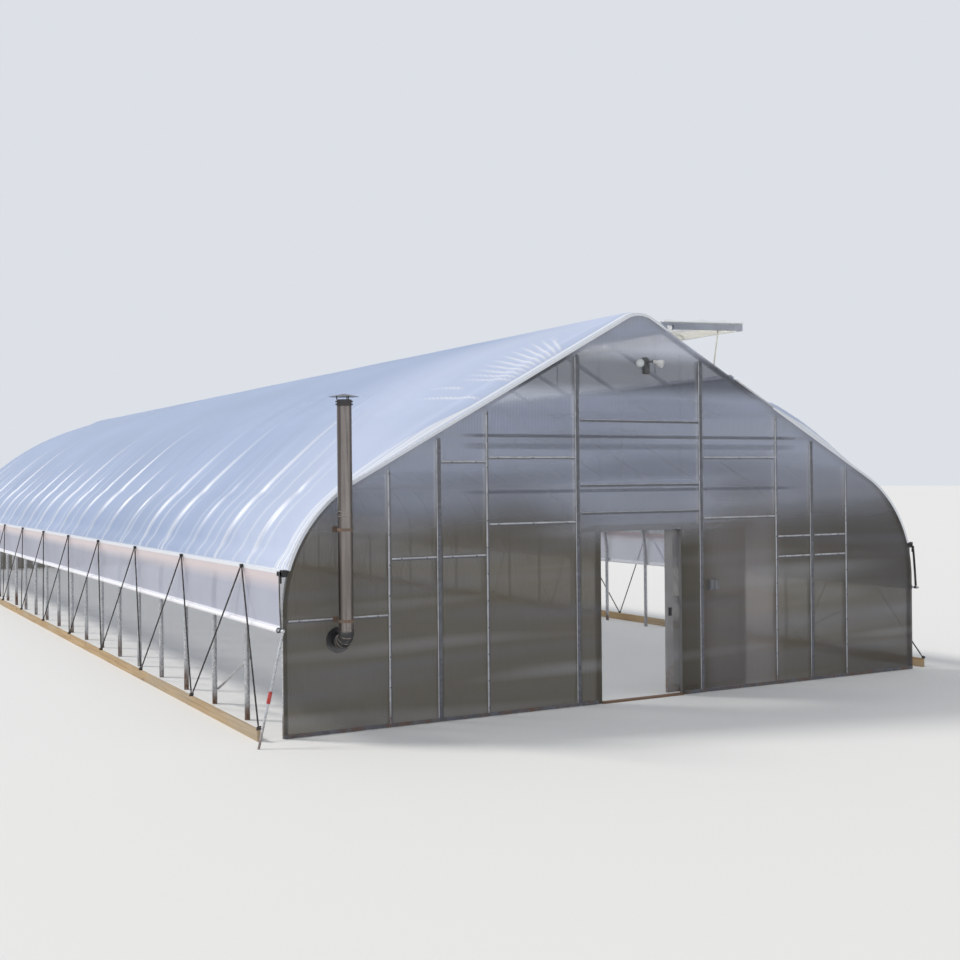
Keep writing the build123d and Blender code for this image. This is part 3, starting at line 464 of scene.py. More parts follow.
def end_pull(along):
    """1 in the field, 0 where the film is locked to an end hoop, with a quick round rise."""
    return 1 - np.exp(-np.clip(from_end(along) - FILM_START, 0, None) / 0.055)


def row_grid(x, along, z):
    """Grid of points from the x and z of its rows and the places along the house."""
    return np.stack(np.broadcast_arrays(x, along, z), axis=-1)


def film_grid(run, along, lift):
    """Points square off the tube line by lift at every run and place along the house."""
    x, z, lean = [row[:, None] for row in roof_line(run)]
    return row_grid(x + np.sin(lean) * lift, along, z + np.cos(lean) * lift)


def rail_hem(side, along):
    """Rows that carry the film over the hip rail's edge and down its face."""
    x = RAIL_OUT + np.array([-0.012, -0.001, 0.0008, 0.0008])
    z = np.array([RAIL_HIGH + 0.0135, RAIL_HIGH + 0.004, RAIL_HIGH - 0.008, RAIL_LOW + 0.018])
    return row_grid(side * x[:, None], along, z[:, None])


def crest_places():
    """Where sharp folds run up the slope from the rail: at every hoop, and here and there between
    them. Rows of place, height, width, and the run that the fold reaches up to."""
    dice = np.random.default_rng(41)

    def rows(places, *ranges):
        return np.stack([places] + [dice.uniform(*limits, len(places)) for limits in ranges], axis=-1)

    at_hoops = rows(HOOP_PLACES[1:-1], (0.008, 0.016), (0.022, 0.04), (2.1, 3.9))
    count = int(BAY_COUNT * 1.9)
    between = np.linspace(0.9, LENGTH - 0.9, count) + dice.uniform(-0.24, 0.24, count)
    return np.concatenate([at_hoops, rows(between, (0.004, 0.009), (0.018, 0.035), (2.6, 4.5))])


def crests(run, along):
    """Sum of the folds: each falls off on both sides of its line as a power of e, and fades out at
    its upper end and at the rail. Also gives a painted highlight that turns the film white along
    each fold: the same fall from 1, over a wider line that reaches down to the rail."""
    down, along = np.abs(run)[:, None], along[None]
    total = np.zeros((down.shape[0], along.shape[1]))
    crest_highlight = np.zeros(total.shape)
    for place, height, width, top in crest_places():
        away = np.sqrt((along - place) ** 2 + 0.006 ** 2) - 0.006
        total += height * np.exp(-away / width) * eased(down, top, top + 1.3)
        line = np.exp(-(away / 0.034) ** 2) * height / 0.014
        crest_highlight = np.maximum(crest_highlight, line * eased(down, top - 0.2, top + 1.6))
    return total * eased(down, ROOF_RUN, ROOF_RUN - 0.25), crest_highlight


def roof_lift(run, along, bulge=0.0):
    """How far the outer film stands off the tubes: blown up on the slopes, in one long arch where
    there is a bulge, drawn hard over the hoops round the eave, pulled down to its lock at both
    ends, with a roll and two narrow ridges just inside them."""
    down = np.abs(run)[:, None]
    along = along[None]
    near_end = from_end(along)
    slack = eased(down, LOW_RUN + EAVE_RUN * 0.30, LOW_RUN - 1.3)
    near_rail = eased(down, LOW_RUN + EAVE_RUN * 0.80, ROOF_RUN)
    arch = np.sin(pi * np.clip((down - 0.25) / (LOW_RUN - 0.04), 0, 1))
    rise = np.sin(pi / 2 * np.clip((near_end - FILM_START) / 1.3, 0, 1)) ** 1.2
    blown = 0.078 + 0.006 * folds(3, down, along, 5, 3.4)
    drawn = 0.036 + tent(along, 0.032, 0.060) + 0.003 * folds(7, down * 0.35, along, 6, 0.8)
    field = blown * slack + drawn * (1 - slack) + bulge * arch * rise
    field = field * (1 - near_rail) + 0.066 * near_rail
    roll = 0.020 * np.exp(-((near_end - 0.19) / 0.10) ** 2) * eased(down, 0.1, 0.7)
    for height, place in ((0.005, 0.055), (0.004, 0.095)):
        roll = roll + height * np.exp(-((near_end - place) / 0.012) ** 2)
    lift = LOCK_LIFT + (field - LOCK_LIFT) * end_pull(along) + roll * (1 - near_rail)
    return lift - 0.030 * (near_end < -0.0413) - 0.004 * (near_end < -0.0409)


def edge_creases(run, along):
    """Creases that fan out from the front lock high on the slope, and two short ones below it, as
    ridges that fall off on both sides of straight lines. Gives 1 on a crest and 0 off it."""
    down, along = np.abs(run)[:, None], along[None]
    share = np.linspace(0, 1, 11)
    fan = np.stack([1.14 + 0.80 * share, np.full(11, 0.09), 0.95 - 0.45 * (share - 0.4) ** 2,
                    0.95 * share - 0.55], axis=-1)
    total = np.zeros((down.shape[0], along.shape[1]))
    for start, near, far, slope in list(fan) + [(2.41, 0.10, 0.98, 0.41), (2.32, 0.50, 1.02, 0.40)]:
        away = down - start - slope * (along - near)
        inside = eased(along, near - 0.06, near + 0.05) * eased(along, far, far - 0.55)
        total = np.maximum(total, np.exp(-(away / 0.016) ** 2) * inside)
    return total


def haze_group():
    """Milky marks that rain and dust leave on film: wide cloudy patches, with faint runs down."""
    group, given, out = new_group("film haze", {"Clear": "Color", "Milky": "Color", "Scale": "Float"},
                                  {"Colour": "Color", "Mask": "Float"})
    runs = noise(group, 1.2, 1.0, stretch=(0.5, 2, 0.5))
    both = counted(group, "ADD", noise(group, given["Scale"], stretch=(1, 0.5, 1)),
                   counted(group, "MULTIPLY", runs, 0.35))
    mask = ranged(group, both, 0.45, 0.90)
    fill(out, {"Colour": coloured(group, mask, given["Clear"], given["Milky"]), "Mask": mask})
    return group


def edges_group():
    """Where the film is whiter: lines of painted highlight beside both end locks, over a reach that
    is wide low on the roof and narrow up the slope, and the doubled film of the hem on the rail."""
    group, _, out = new_group("film edges", {}, {"Pale": "Float"})
    place = place_parts(group)
    near = counted(group, "MINIMUM", place["Y"], counted(group, "SUBTRACT", LENGTH, place["Y"]))
    reach = ranged(group, place["Z"], 2.7, 3.5, 0.36, 0.06)
    end = ranged(group, counted(group, "DIVIDE", near, reach), 0.75, 1.0, 1.0, 0.0, smooth=True)
    lines = ranged(group, noise(group, 1.0, stretch=(0.06, 15, 0.06)), 0.42, 0.56, 0.25, 1.0, smooth=True)
    hem = ranged(group, place["Z"], RAIL_HIGH + 0.004, RAIL_HIGH + 0.018, 0.9, 0.0)
    fill(out, {"Pale": counted(group, "MAXIMUM", counted(group, "MULTIPLY", end, lines), hem)})
    return group


HAZE = haze_group()
EDGES = edges_group()


def view_stopped(tree, mask, cover):
    """How much of the view a clear sheet stops, from the first of cover to the second over a
    mask. Half the light that falls on it goes on into the house."""
    ray = shader_node(tree, "LightPath").outputs
    onward = counted(tree, "MAXIMUM", ray["Is Shadow Ray"], ray["Is Diffuse Ray"])
    return counted(tree, "MULTIPLY", ranged(tree, mask, 0.0, 1.0, *cover),
                   ranged(tree, onward, 0.0, 1.0, 1.0, 0.5))


def film_finish(name, clear, milky, cover, rough=0.30, through=0.0, bend=1.5, white=None):
    """Film: clear plastic with haze; cover is how much of the view it stops, low to high, through
    how much light goes through it blurred, and white its colour in the painted highlights along
    folds, creases and end locks and in the doubled hem. With white it is also paler near the front, as a
    painted highlight."""
    material, tree, shader = new_finish(name, IOR=bend, Transmission_Weight=through)
    haze = put_group(tree, HAZE, Clear=clear, Milky=milky, Scale=0.4)
    shade = haze["Colour"]
    if white:
        # Painted highlight: the film paler and bluer towards the front end.
        near = ranged(tree, place_parts(tree)["Y"], 0.3, 4.5, 0.60, 0.0, smooth=True)
        shade = coloured(tree, near, shade, (0.62, 0.68, 0.86, 1))
        # Painted highlight: white along folds and creases and beside the end locks; the hem's white is its
        # doubled film.
        crest_highlight = shader_node(tree, "Attribute", attribute_name="crest_highlight").outputs["Fac"]
        crest_highlight = counted(tree, "MULTIPLY", crest_highlight, 0.62)
        pale = counted(tree, "MAXIMUM", put_group(tree, EDGES)["Pale"], crest_highlight)
        shade = coloured(tree, pale, shade, white)
    fill(shader, {"Base Color": shade, "Alpha": view_stopped(tree, haze["Mask"], cover),
                  "Roughness": ranged(tree, haze["Mask"], 0.0, 1.0, rough - 0.05, rough + 0.08)})
    return material


# The blue in the outer film's colours is painted sky reflection; clear to milky is its haze.
outer_film = film_finish("outer roof film", (0.268, 0.35, 0.545, 1), (0.345, 0.43, 0.635, 1), (0.93, 0.97),
                         0.38, bend=1.45, white=(0.86, 0.88, 0.92, 1))
inner_film = film_finish("inner roof film", (0.58, 0.62, 0.70, 1), (0.66, 0.70, 0.77, 1), (0.30, 0.42))


def chained(start, *stops):
    """Even rows from a start through several stops, each given with its count of rows."""
    rows = []
    for stop, count in stops:
        rows.append(np.linspace(start, stop, count)[:-1])
        start = stop
    return np.concatenate(rows + [[start]])


def roof_sheet(name, run, along, lift, material, side=0, nodes=()):
    """One sheet of film as a grid of lift over run and place, with its hem on the rail."""
    grid = film_grid(run, along, lift)
    if side:
        grid = np.concatenate([grid, rail_hem(side, along)])
    shape = grid_shape(grid, flip=run[0] > run[-1])
    film = made_piece(name, [shape], material, weld=False)
    if nodes:
        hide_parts(*nodes)
    return film


def make_lining(name, side, down):
    """Inner film of one side: it lies on the hoops and sags between them."""
    along = bay_places(8, 0.6)
    free = eased(down, 0.4, 0.9) * eased(down, ROOF_RUN, ROOF_RUN - 0.3)
    lift = FILM_LIFT + tent(along, 0.075, 0.18)[None] * free[:, None]
    roof_sheet(name, side * down, along, lift, inner_film)


def make_left_film():
    """From the vent's edge over the ridge to the left rail, with its rows closest round the eave
    and where the creases are."""
    down = chained(-VENT_RUN, (-RIDGE_RUN, 6), (RIDGE_RUN, 15), (0.9, 10), (2.8, 82), (LOW_RUN, 14),
                   (ROOF_RUN, 26))
    run = -down
    beside = np.array([-0.06, -0.02, -0.006, 0.006, 0.02, 0.06])
    folded = (crest_places()[len(HOOP_PLACES) - 2:, :1] + beside).ravel()
    along = with_ends(np.concatenate([bay_places(10, 0.84), folded, np.linspace(0.5, 1.6, 22)]))
    ridges, crest_highlight = crests(run, along)
    creases = edge_creases(run, along)
    # The creases get the painted highlight as well; it goes to the film's shader as a point attribute.
    crest_highlight = np.maximum(crest_highlight, 1.5 * creases)
    lift = roof_lift(run, along, LEFT_BULGE) + ridges + 0.013 * creases
    over = eased(down, -VENT_RUN + 0.16, -VENT_RUN)[:, None]
    lift = lift * (1 - over) + np.minimum(lift, LOCK_LIFT * 0.8) * over
    film = roof_sheet("roof_film_left", run, along, lift, outer_film, -1,
                      ("film_ridge", "film_left_slope", "film_left_eave_upper", "film_left_eave_lower"))
    marks = np.zeros(len(film.data.vertices), np.float32)
    marks[:crest_highlight.size] = crest_highlight.ravel()
    film.data.attributes.new("crest_highlight", "FLOAT", "POINT").data.foreach_set("value", marks)
    make_lining("roof_lining_left", -1, chained(-VENT_RUN, (RIDGE_RUN, 12), (4.2, 8), (ROOF_RUN - 0.02, 16)))


def make_right_film():
    """The right slope: a flat strip below the vent, then the blown sheet down to the rail, which
    swells far over the tubes and is crumpled at its top and at both ends."""
    run = np.linspace(SILL_RUN + 0.002, STRIP_RUN + 0.03, 8)
    along = bay_places(8, 0.6)
    lift = 0.036 + 0.003 * folds(5, run[:, None], along[None], 4, 0.9)
    roof_sheet("roof_film_strip", run, along, lift, outer_film,
               nodes=("film_right_upper",))
    run = np.concatenate([STRIP_RUN + np.linspace(0, 1, 22) ** 1.5 * 0.5,
                          chained(STRIP_RUN + 0.5, (LOW_RUN, 34), (ROOF_RUN, 30))[1:]])
    along = with_ends(bay_places(16, 0.8))
    lift = roof_lift(run, along)
    from_top = (run - STRIP_RUN)[:, None]
    fine = 0.010 * np.exp(-from_top / 0.32) * folds(11, from_top * 1.6, along[None] * 2.2, 7, 0.5)
    wide = 0.007 * folds(13, from_top * 0.5, along[None] * 1.3, 6, 0.42) * np.exp(-from_top / 1.5)
    roll = 1 - np.exp(-from_top / 0.035)
    lift = np.minimum(lift + (fine + wide) * end_pull(along)[None], 0.108)
    lift = np.minimum(lift, 0.041 + (lift - 0.041) * roll)
    share = np.clip((run - STRIP_RUN) / (ROOF_RUN - 0.18 - STRIP_RUN), 0, 1)[:, None]
    near = np.clip((from_end(along) - FILM_START) / 0.42, 0, 1)
    rise = np.sin(pi / 2 * near)[None] ** 0.8
    pleats = 0.012 * folds(37, from_top * 3.2, along[None] * 0.5, 7, 0.42) * (rise * (1.25 - rise))
    lift = lift + RIGHT_BULGE * np.sin(pi * share ** 0.62) ** 0.5 * rise + pleats * roll
    roof_sheet("roof_film_right", run, along, lift, outer_film, 1,
               ("film_right_slope", "film_right_eave_upper", "film_right_eave_lower"))
    make_lining("roof_lining_right", 1, chained(STRIP_RUN + 0.02, (4.2, 8), (ROOF_RUN - 0.02, 16)))


make_left_film()
make_right_film()


# Film locks on the end hoops
# An aluminium channel screwed over each end hoop. The film is laid in it and held by a spring
# wire pressed in as a zigzag.
WIRE = 0.0016
ZIGZAG = 0.036
lock_metal = zinc_finish("lock channel", (0.66, 0.67, 0.69, 1), (0.50, 0.51, 0.53, 1), 25.0, 0.02,
                         metallic=0.35)
give(lock_metal, "film_lock_front", "film_lock_back", "hip_rails")


def lock_wire(run_from, run_to):
    """Zigzag across the channel, carried along the curve of the end hoop."""
    count = int(abs(run_to - run_from) / ZIGZAG)
    run = np.linspace(run_from, run_to, count)
    x, z, lean = roof_line(run)
    lift = LOCK_LIFT + WIRE
    across = -0.012 + 0.013 * (-1.0) ** np.arange(count)
    path = np.stack([x + np.sin(lean) * lift, across, z + np.cos(lean) * lift], axis=-1)
    return swept(path, round_outline(WIRE, 4), (0, 1, 0.02))


def make_lock_wires():
    front = [lock_wire(VENT_RUN - 0.06, -ROOF_RUN + 0.02), lock_wire(SILL_RUN + 0.03, ROOF_RUN - 0.02)]
    made_piece("film_lock_wires", at_both_ends(front), galvanised, weld=False)


make_lock_wires()


# Roof vent
# A flap along the whole ridge, hinged on a raised rail and propped open on struts. Its frame of
# steel bars is wrapped in film, which is turned under the outer rail and pinned there.
FLAP_TILT = radians(1.8)
FLAP_WIDTH = SILL_OUT - HINGE_OUT + 0.270
HINGE_HIGH = PEAK - HINGE_OUT * tan(PITCH) + 0.116
FLAP_START = (HINGE_OUT - 0.025, HINGE_HIGH + 0.0003)
FLAP_TOP = 0.0405
HEM_PAST = 0.018
PROP_OUT = 0.828 * SILL_OUT
ROD_FOOT = (1.165, 0.002, 4.090)
ROD_TOP = (1.260, 0.035, 4.530)
vent_steel = zinc_finish("vent steel", (0.40, 0.43, 0.52, 1), (0.33, 0.36, 0.43, 1), 12.0, 0.03, metallic=0.2)
cream = zinc_finish("cream paint", (0.80, 0.78, 0.68, 1), (0.68, 0.66, 0.57, 1), 12.0, 0.05, metallic=0.0)
vent_film = film_finish("vent film", (0.84, 0.84, 0.82, 1), (0.92, 0.92, 0.90, 1), (0.90, 0.96), 0.45,
                        through=0.8, bend=1.06)
give(vent_steel, "vent_hinge_rail", "vent_sill")


def flap_finish():
    """Bars of the flap: bare steel at the front end, paler towards the outer rail, and beyond the front end a
    pale cream that is painted light: the glow of sunlit film seen from under the flap.
    """
    material, tree, shader = new_finish("flap bars", Roughness=0.55)
    zinc = put_group(tree, ZINC, Bright=(0.34, 0.37, 0.44, 1), Dull=(0.27, 0.29, 0.35, 1), Spangle=12.0)
    place = place_parts(tree)
    outer = ranged(tree, place["X"], 0.6, 1.6, 0.0, 0.35)
    steel = coloured(tree, outer, zinc["Colour"], (0.62, 0.64, 0.68, 1))
    # Pale cream past the front bar is painted light: the glow of the film lit from above.
    under = ranged(tree, place["Y"], 0.06, 0.10)
    fill(shader, {"Base Color": coloured(tree, under, steel, (0.90, 0.88, 0.80, 1))})
    bumped(shader, zinc["Height"], 0.0008)
    return material


give(flap_finish(), "vent_flap_frame")


def on_flap(out, along, up):
    """Grid of points out along the tilted flap and up off its bars."""
    return row_grid(FLAP_START[0] + out * cos(FLAP_TILT) - up * sin(FLAP_TILT), along,
                    FLAP_START[1] + out * sin(FLAP_TILT) + up * cos(FLAP_TILT))


def make_vent_film():
    """Top of the flap: film resting on the bar over each hoop and billowing a little between
    them, then round the outer rail and back underneath."""
    top = np.linspace(-0.020, FLAP_WIDTH - 0.02, 26)
    wrap = [(0.016, -0.004), (0.0225, -0.012), (0.0235, -0.040), (0.0235, -0.075), (0.020, -0.092),
            (0.008, -0.0985), (-0.020, -0.0985), (-0.055, -0.0965)]
    out = np.array([-0.040] + list(top) + [FLAP_WIDTH - 0.02 + step[0] for step in wrap])
    up = np.array([0.0] * (len(top) + 1) + [step[1] for step in wrap]) + 0.0440
    lip = FILM_START - np.array([0.0022, 0.0020, 0.0018])
    along = np.unique(np.concatenate([bay_places(12, 0.6), np.linspace(0.02, 0.5, 12)]))
    along = np.concatenate([lip, along])
    share = (np.clip(out, 0, FLAP_WIDTH) / FLAP_WIDTH)[:, None]
    billow = 0.020 * np.sin(pi * share) ** 0.6 * (1 - np.exp(-from_hoop(along) / 0.16))[None]
    billow = billow + 0.0035 * folds(17, out[:, None], along[None] * 1.5, 6, 0.5) * np.sin(pi * share)
    billow = billow * end_pull(along)[None]
    up = up[:, None] + np.where(out[:, None] < FLAP_WIDTH - 0.01, billow, 0)
    ragged = 0.016 + 0.010 * folds(29, out[:, None] * 1.4, np.zeros((1, 1)), 5, 0.3)
    lip_share = np.array([1.0, 0.5] + [0.0] * (len(along) - 2))
    up = up - ragged * lip_share[None] * (out[:, None] <= FLAP_WIDTH)
    slack = 0.004 * folds(19, up * 4, along[None] * 2, 6, 0.4) * (out[:, None] > FLAP_WIDTH)
    shape = grid_shape(on_flap(out[:, None] + slack, along, up))
    film = made_piece("vent_flap_film", [shape], vent_film, weld=False)
    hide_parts("vent_film")


def make_vent_hems():
    """Loose edge of the flap's film at both ends: it stands up off the end bar, crumpled."""
    out = np.linspace(0.0, FLAP_WIDTH + HEM_PAST, 90)[:, None]
    up = np.linspace(-0.014, 0.024, 5)[None]
    ragged = 1 + 0.9 * folds(43, out, up * 0, 6, 0.22) + 0.5 * folds(47, out, up * 0, 5, 0.07)
    lean = -0.0035 + 0.010 * folds(53, out, up * 4, 6, 0.16) * (up > 0)
    rise = FLAP_TOP + np.where(up > 0, up * ragged, up)
    front = grid_shape(on_flap(out, FILM_START + np.minimum(lean, 0.004), rise))
    for name, shape in zip(("vent_hem_front", "vent_hem_back"), at_both_ends([front])):
        hem = made_piece(name, [shape], vent_film, weld=False)


def make_vent_fittings():
    """Hinge barrels along the rail, a cup at the foot of a prop at every second hoop, and a thin
    rod that holds each end bar up off the lock."""
    barrel = turned([(0, 0), (0.009, 0.0), (0.009, 0.030), (0.0075, 0.031), (0.0075, 0.033), (0.009, 0.034),
                     (0.009, 0.064), (0, 0.064)], 10)
    barrel = aimed(barrel, (HINGE_OUT - 0.0345, 0, HINGE_HIGH - 0.006), (0, 1, 0))
    barrels = repeated(barrel, [(0, place - 0.032, 0) for place in HOOP_PLACES[1:-1]])
    foot = PEAK - PROP_OUT * tan(PITCH) + TUBE / cos(PITCH)
    cup = turned([(0, -0.004), (0.020, -0.004), (0.020, 0.012), (0.0135, 0.018), (0.0135, 0.055),
                  (0.0102, 0.057), (0.0102, 0.05)], 12)
    cups = repeated(cup, [(PROP_OUT, place, foot) for place in HOOP_PLACES[1:-1:2]])
    rods = at_both_ends([tapered([ROD_FOOT, ROD_TOP], 0.009, 10)])
    made_piece("vent_end_rods", rods, cream)
    made_piece("vent_hinges", [barrels], vent_steel)
    made_piece("vent_prop_cups", [cups], vent_steel)


make_vent_film()
make_vent_hems()
make_vent_fittings()


# Side curtains
# One sheet of film a side, pinned under the roof film on the hip rail and rolled up on a steel
# pipe, which the crank at the front corner turns. The pipe lies inside the rolled film.
CURTAIN_TOP = RAIL_LOW + 0.022
ROLL_RADIUS = 0.032
ROLL_HIGH = POST - 0.140
ROLL_OUT = HALF_WIDTH + TUBE + ROLL_RADIUS + 0.0013
ROLL_TURNS = 3.6
CORE = 0.014
CORE_PAST = 0.120


def curtain_finish():
    """Milky film like the roof's. The hem under the rail is doubled and has yellowed to a warm
    white, and the layers of the roll add up to a bright white."""
    material, tree, shader = new_finish("curtain film", IOR=1.5)
    haze = put_group(tree, HAZE, Clear=(0.41, 0.43, 0.54, 1), Milky=(0.47, 0.49, 0.60, 1), Scale=0.9)
    height = place_parts(tree)["Z"]
    hem = ranged(tree, height, CURTAIN_TOP - 0.20, CURTAIN_TOP - 0.06)
    roll = ranged(tree, height, ROLL_HIGH + 0.030, ROLL_HIGH + 0.045, 1.0, 0.0)
    shade = coloured(tree, hem, haze["Colour"], (0.66, 0.57, 0.58, 1))
    layers = ranged(tree, counted(tree, "MAXIMUM", hem, roll), 0.0, 1.0, 0.0, 0.25)
    cover = ranged(tree, haze["Mask"], 0.0, 1.0, 0.72, 0.84)
    fill(shader, {"Base Color": coloured(tree, roll, shade, (0.95, 0.95, 0.99, 1)),
                  "Alpha": counted(tree, "ADD", cover, layers, use_clamp=True),
                  "Roughness": ranged(tree, haze["Mask"], 0.0, 1.0, 0.30, 0.42)})
    return material


curtain_film = curtain_finish()


def curtain_rows():
    """Outline of the curtain: down from the rail, then a spiral that closes on its pipe."""
    start = (RAIL_OUT + 0.0022, ROLL_HIGH + 0.020)
    down = np.linspace(CURTAIN_TOP, start[1] + 0.012, 13)
    hang = np.stack([np.full(len(down), start[0]), down], axis=-1)
    first = np.arctan2(start[1] - ROLL_HIGH, start[0] - ROLL_OUT)
    share = np.linspace(0, 1, int(ROLL_TURNS * 18))
    angle = first + share * ROLL_TURNS * 2 * pi
    radius = ROLL_RADIUS + (CORE + 0.0015 - ROLL_RADIUS) * share
    roll = np.stack([ROLL_OUT + radius * np.cos(angle), ROLL_HIGH + radius * np.sin(angle)], axis=-1)
    return hang, roll


def make_curtain(side, name, node):
    hang, roll = curtain_rows()
    along = np.unique(np.concatenate([bay_places(9, 0.35), [0.0, 0.05, 0.12, LENGTH - 0.05, LENGTH]]))
    x, z = hang[:, :1], hang[:, 1:]
    drop = (CURTAIN_TOP - z) / (CURTAIN_TOP - z[-1])
    wind = np.sin(pi * drop ** 0.8) * 0.008 * np.sin(pi * from_hoop(along) / BAY)[None]
    ripple = 0.0025 * folds(23 + side, z * 0.12, along[None], 8, 0.34) * np.sin(pi * drop * 0.85) ** 0.7
    out = x + np.clip(wind + ripple + 0.002 * np.sin(pi * drop), 0, 0.02)
    lump = 1 + 0.035 * folds(31 + side, np.zeros((1, 1)), along[None], 6, 1.4)
    wound = ROLL_OUT + (roll[:, :1] - ROLL_OUT) * lump
    grid = np.concatenate([row_grid(side * out, along, z),
                           row_grid(side * wound, along, ROLL_HIGH + (roll[:, 1:] - ROLL_HIGH) * lump)])
    curtain = made_piece(name, [grid_shape(grid, flip=side < 0)], curtain_film, weld=False)
    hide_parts(node)


def pipe(radius, wall, length):
    """Open tube: the profile goes up the outside and back down the bore."""
    inner = radius - wall
    return turned([(inner, 0), (radius, 0), (radius, length), (inner, length), (inner, 0)], 20)


def make_curtains():
    make_curtain(-1, "curtain_left", "side_curtain_left")
    make_curtain(1, "curtain_right", "side_curtain_right")
    core = aimed(pipe(CORE, 0.002, LENGTH + 2 * CORE_PAST), (ROLL_OUT, -CORE_PAST, ROLL_HIGH), (0, 1, 0))
    for end, shape in (("right", core), ("left", mirrored(core))):
        made = made_piece("curtain_pipe_" + end, [shape], galvanised)
        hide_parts("curtain_roll_" + end)


make_curtains()


# Ropes, hooks and boards
# Twisted rope laced from a hook on the rail to a peg on the ground board and up again, so that
# wind can't lift the curtain. The boards are rough sawn pine set on edge, gone grey and brown.
ROPE = 0.010
HOOK = 0.008
HOOK_HIGH = CURTAIN_TOP + HOOK + 0.010
HOOK_END = RAIL_OUT + 0.034
BOARD_OUT = HALF_WIDTH + 0.285
PEG_MIDDLE = 0.120 + 0.017
RUN_RINGS = 34
RUN_SIDES = 8
LOOP_RINGS = 22
LOOP_SIDES = 6
LOOP_TURNS = 1.6


def rope_finish(name, place, scale):
    """Dark rope or webbing: bands of its strands across the place given, dusty in patches."""
    material, tree, shader = new_finish(name, Roughness=0.85)
    lay = shader_node(tree, "TexWave", {"Vector": place(tree), "Scale": scale, "Distortion": 0.4},
                      bands_direction="DIAGONAL").outputs["Fac"]
    dark = coloured(tree, lay, (0.020, 0.020, 0.022, 1), (0.075, 0.072, 0.072, 1))
    dust = ranged(tree, noise(tree, 14.0, 5.0), 0.5, 0.75, 0.0, 0.6)
    fill(shader, {"Base Color": coloured(tree, dust, dark, (0.24, 0.22, 0.19, 1))})
    bumped(shader, lay, 0.001)
    return material


def strand_place(tree):
    """Along and around the rope, from its own map."""
    along = shader_node(tree, "UVMap", uv_map="lay").outputs[0]
    return shader_node(tree, "Mapping", {"Vector": along, "Scale": (1.0, 3.0, 1.0)}).outputs[0]


def rope_run(start, end):
    """Rope between two places with a slight sag; three strands show as a turning outline."""
    share = np.linspace(0, 1, RUN_RINGS)[:, None]
    path = start * (1 - share) + end * share
    path[:, 2] -= 0.012 * 4 * (share * (1 - share))[:, 0]
    angle = np.arange(RUN_SIDES) * 2 * pi / RUN_SIDES
    twist = np.arange(RUN_RINGS) * 0.9
    radius = ROPE * (0.92 + 0.08 * np.cos(3 * (angle[None] + twist[:, None])))
    outline = radius[:, :, None] * round_outline(1, RUN_SIDES)
    outline[[0, -1]] *= 0.6
    return swept(path, outline, (0, 0.2, 1))


def rope_loop(middle, on_hook):
    """Coil of the rope laid round a hook that points outwards, or round an upright peg."""
    angle = np.linspace(0, LOOP_TURNS * 2 * pi, LOOP_RINGS)
    rounds = (HOOK + ROPE) * np.stack([np.cos(angle), np.sin(angle)], axis=-1)
    climb = np.linspace(-0.5, 0.5, LOOP_RINGS) * LOOP_TURNS * 2 * ROPE
    path = np.column_stack([climb, rounds] if on_hook else [rounds, climb])
    return swept(path + middle, round_outline(ROPE, LOOP_SIDES), (1, 0.001, 0) if on_hook else (0, 0.001, 1))


def make_ropes():
    hook_place = HOOK_END - ROPE - 0.002
    ties = [np.array((hook_place, place, HOOK_HIGH) if i % 2 else (BOARD_OUT, place, PEG_MIDDLE))
            for i, place in enumerate(HOOP_PLACES)]
    beside = np.array((0, HOOK + ROPE * 0.62, 0))
    runs = [rope_run(near + beside, far - beside) for near, far in zip(ties, ties[1:])]
    loops = [rope_loop(tie, i % 2) for i, tie in enumerate(ties)]
    rope = rope_finish("rope", strand_place, 0.5)
    ropes = made_piece("lacing_ropes", on_both_sides(runs), rope, weld=False)
    turns = made_piece("lacing_rope_turns", on_both_sides(loops), rope, weld=False)
    for made, rings, sides in ((ropes, RUN_RINGS, RUN_SIDES), (turns, LOOP_RINGS, LOOP_SIDES)):
        uv = made.data.uv_layers.new(name="lay")
        corner = np.zeros(len(made.data.loops), np.int32)
        made.data.loops.foreach_get("vertex_index", corner)
        ring, around = (corner % (rings * sides)) // sides, corner % sides
        uv.data.foreach_set("uv", np.stack([ring * 1.3, around / sides], axis=-1).ravel())
    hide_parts("anti_billow_ropes")


def timber_finish():
    """Sawn pine: grain drawn out along the board, knots, and grey where the rain reaches."""
    material, tree, shader = new_finish("sawn pine", Roughness=0.8)
    grain = noise(tree, 3.0, 9.0, 0.62, (14, 0.35, 14), bent=0.6)
    knots = shader_node(tree, "TexVoronoi", {"Vector": place_on(tree, (1.6, 1.0, 1.6)), "Scale": 2.0})
    knot = ranged(tree, knots.outputs["Distance"], 0.03, 0.11, 1.0, 0.0)
    wood = coloured(tree, ranged(tree, grain, 0.3, 0.7), (0.33, 0.21, 0.10, 1), (0.60, 0.44, 0.25, 1))
    wood = coloured(tree, knot, wood, (0.16, 0.09, 0.045, 1))
    weather = ranged(tree, noise(tree, 1.5, 6.0, stretch=(1, 0.3, 1)), 0.45, 0.7, 0.0, 0.7)
    fill(shader, {"Base Color": coloured(tree, weather, wood, (0.40, 0.36, 0.30, 1))})
    bumped(shader, grain, 0.002)
    return material


def dark_steel_finish():
    material, tree, shader = new_finish("dark steel", Metallic=0.6)
    cloud = noise(tree, 30.0, 6.0)
    mask = put_group(tree, RUST, Amount=0.22, Scale=18.0, Top=0.1, Fade=0.3)["Mask"]
    black = coloured(tree, cloud, (0.025, 0.026, 0.028, 1), (0.07, 0.07, 0.072, 1))
    fill(shader, {"Base Color": coloured(tree, mask, black, (0.16, 0.08, 0.04, 1)),
                  "Roughness": ranged(tree, cloud, 0.3, 0.7, 0.42, 0.6)})
    bumped(shader, cloud, 0.0006)
    return material


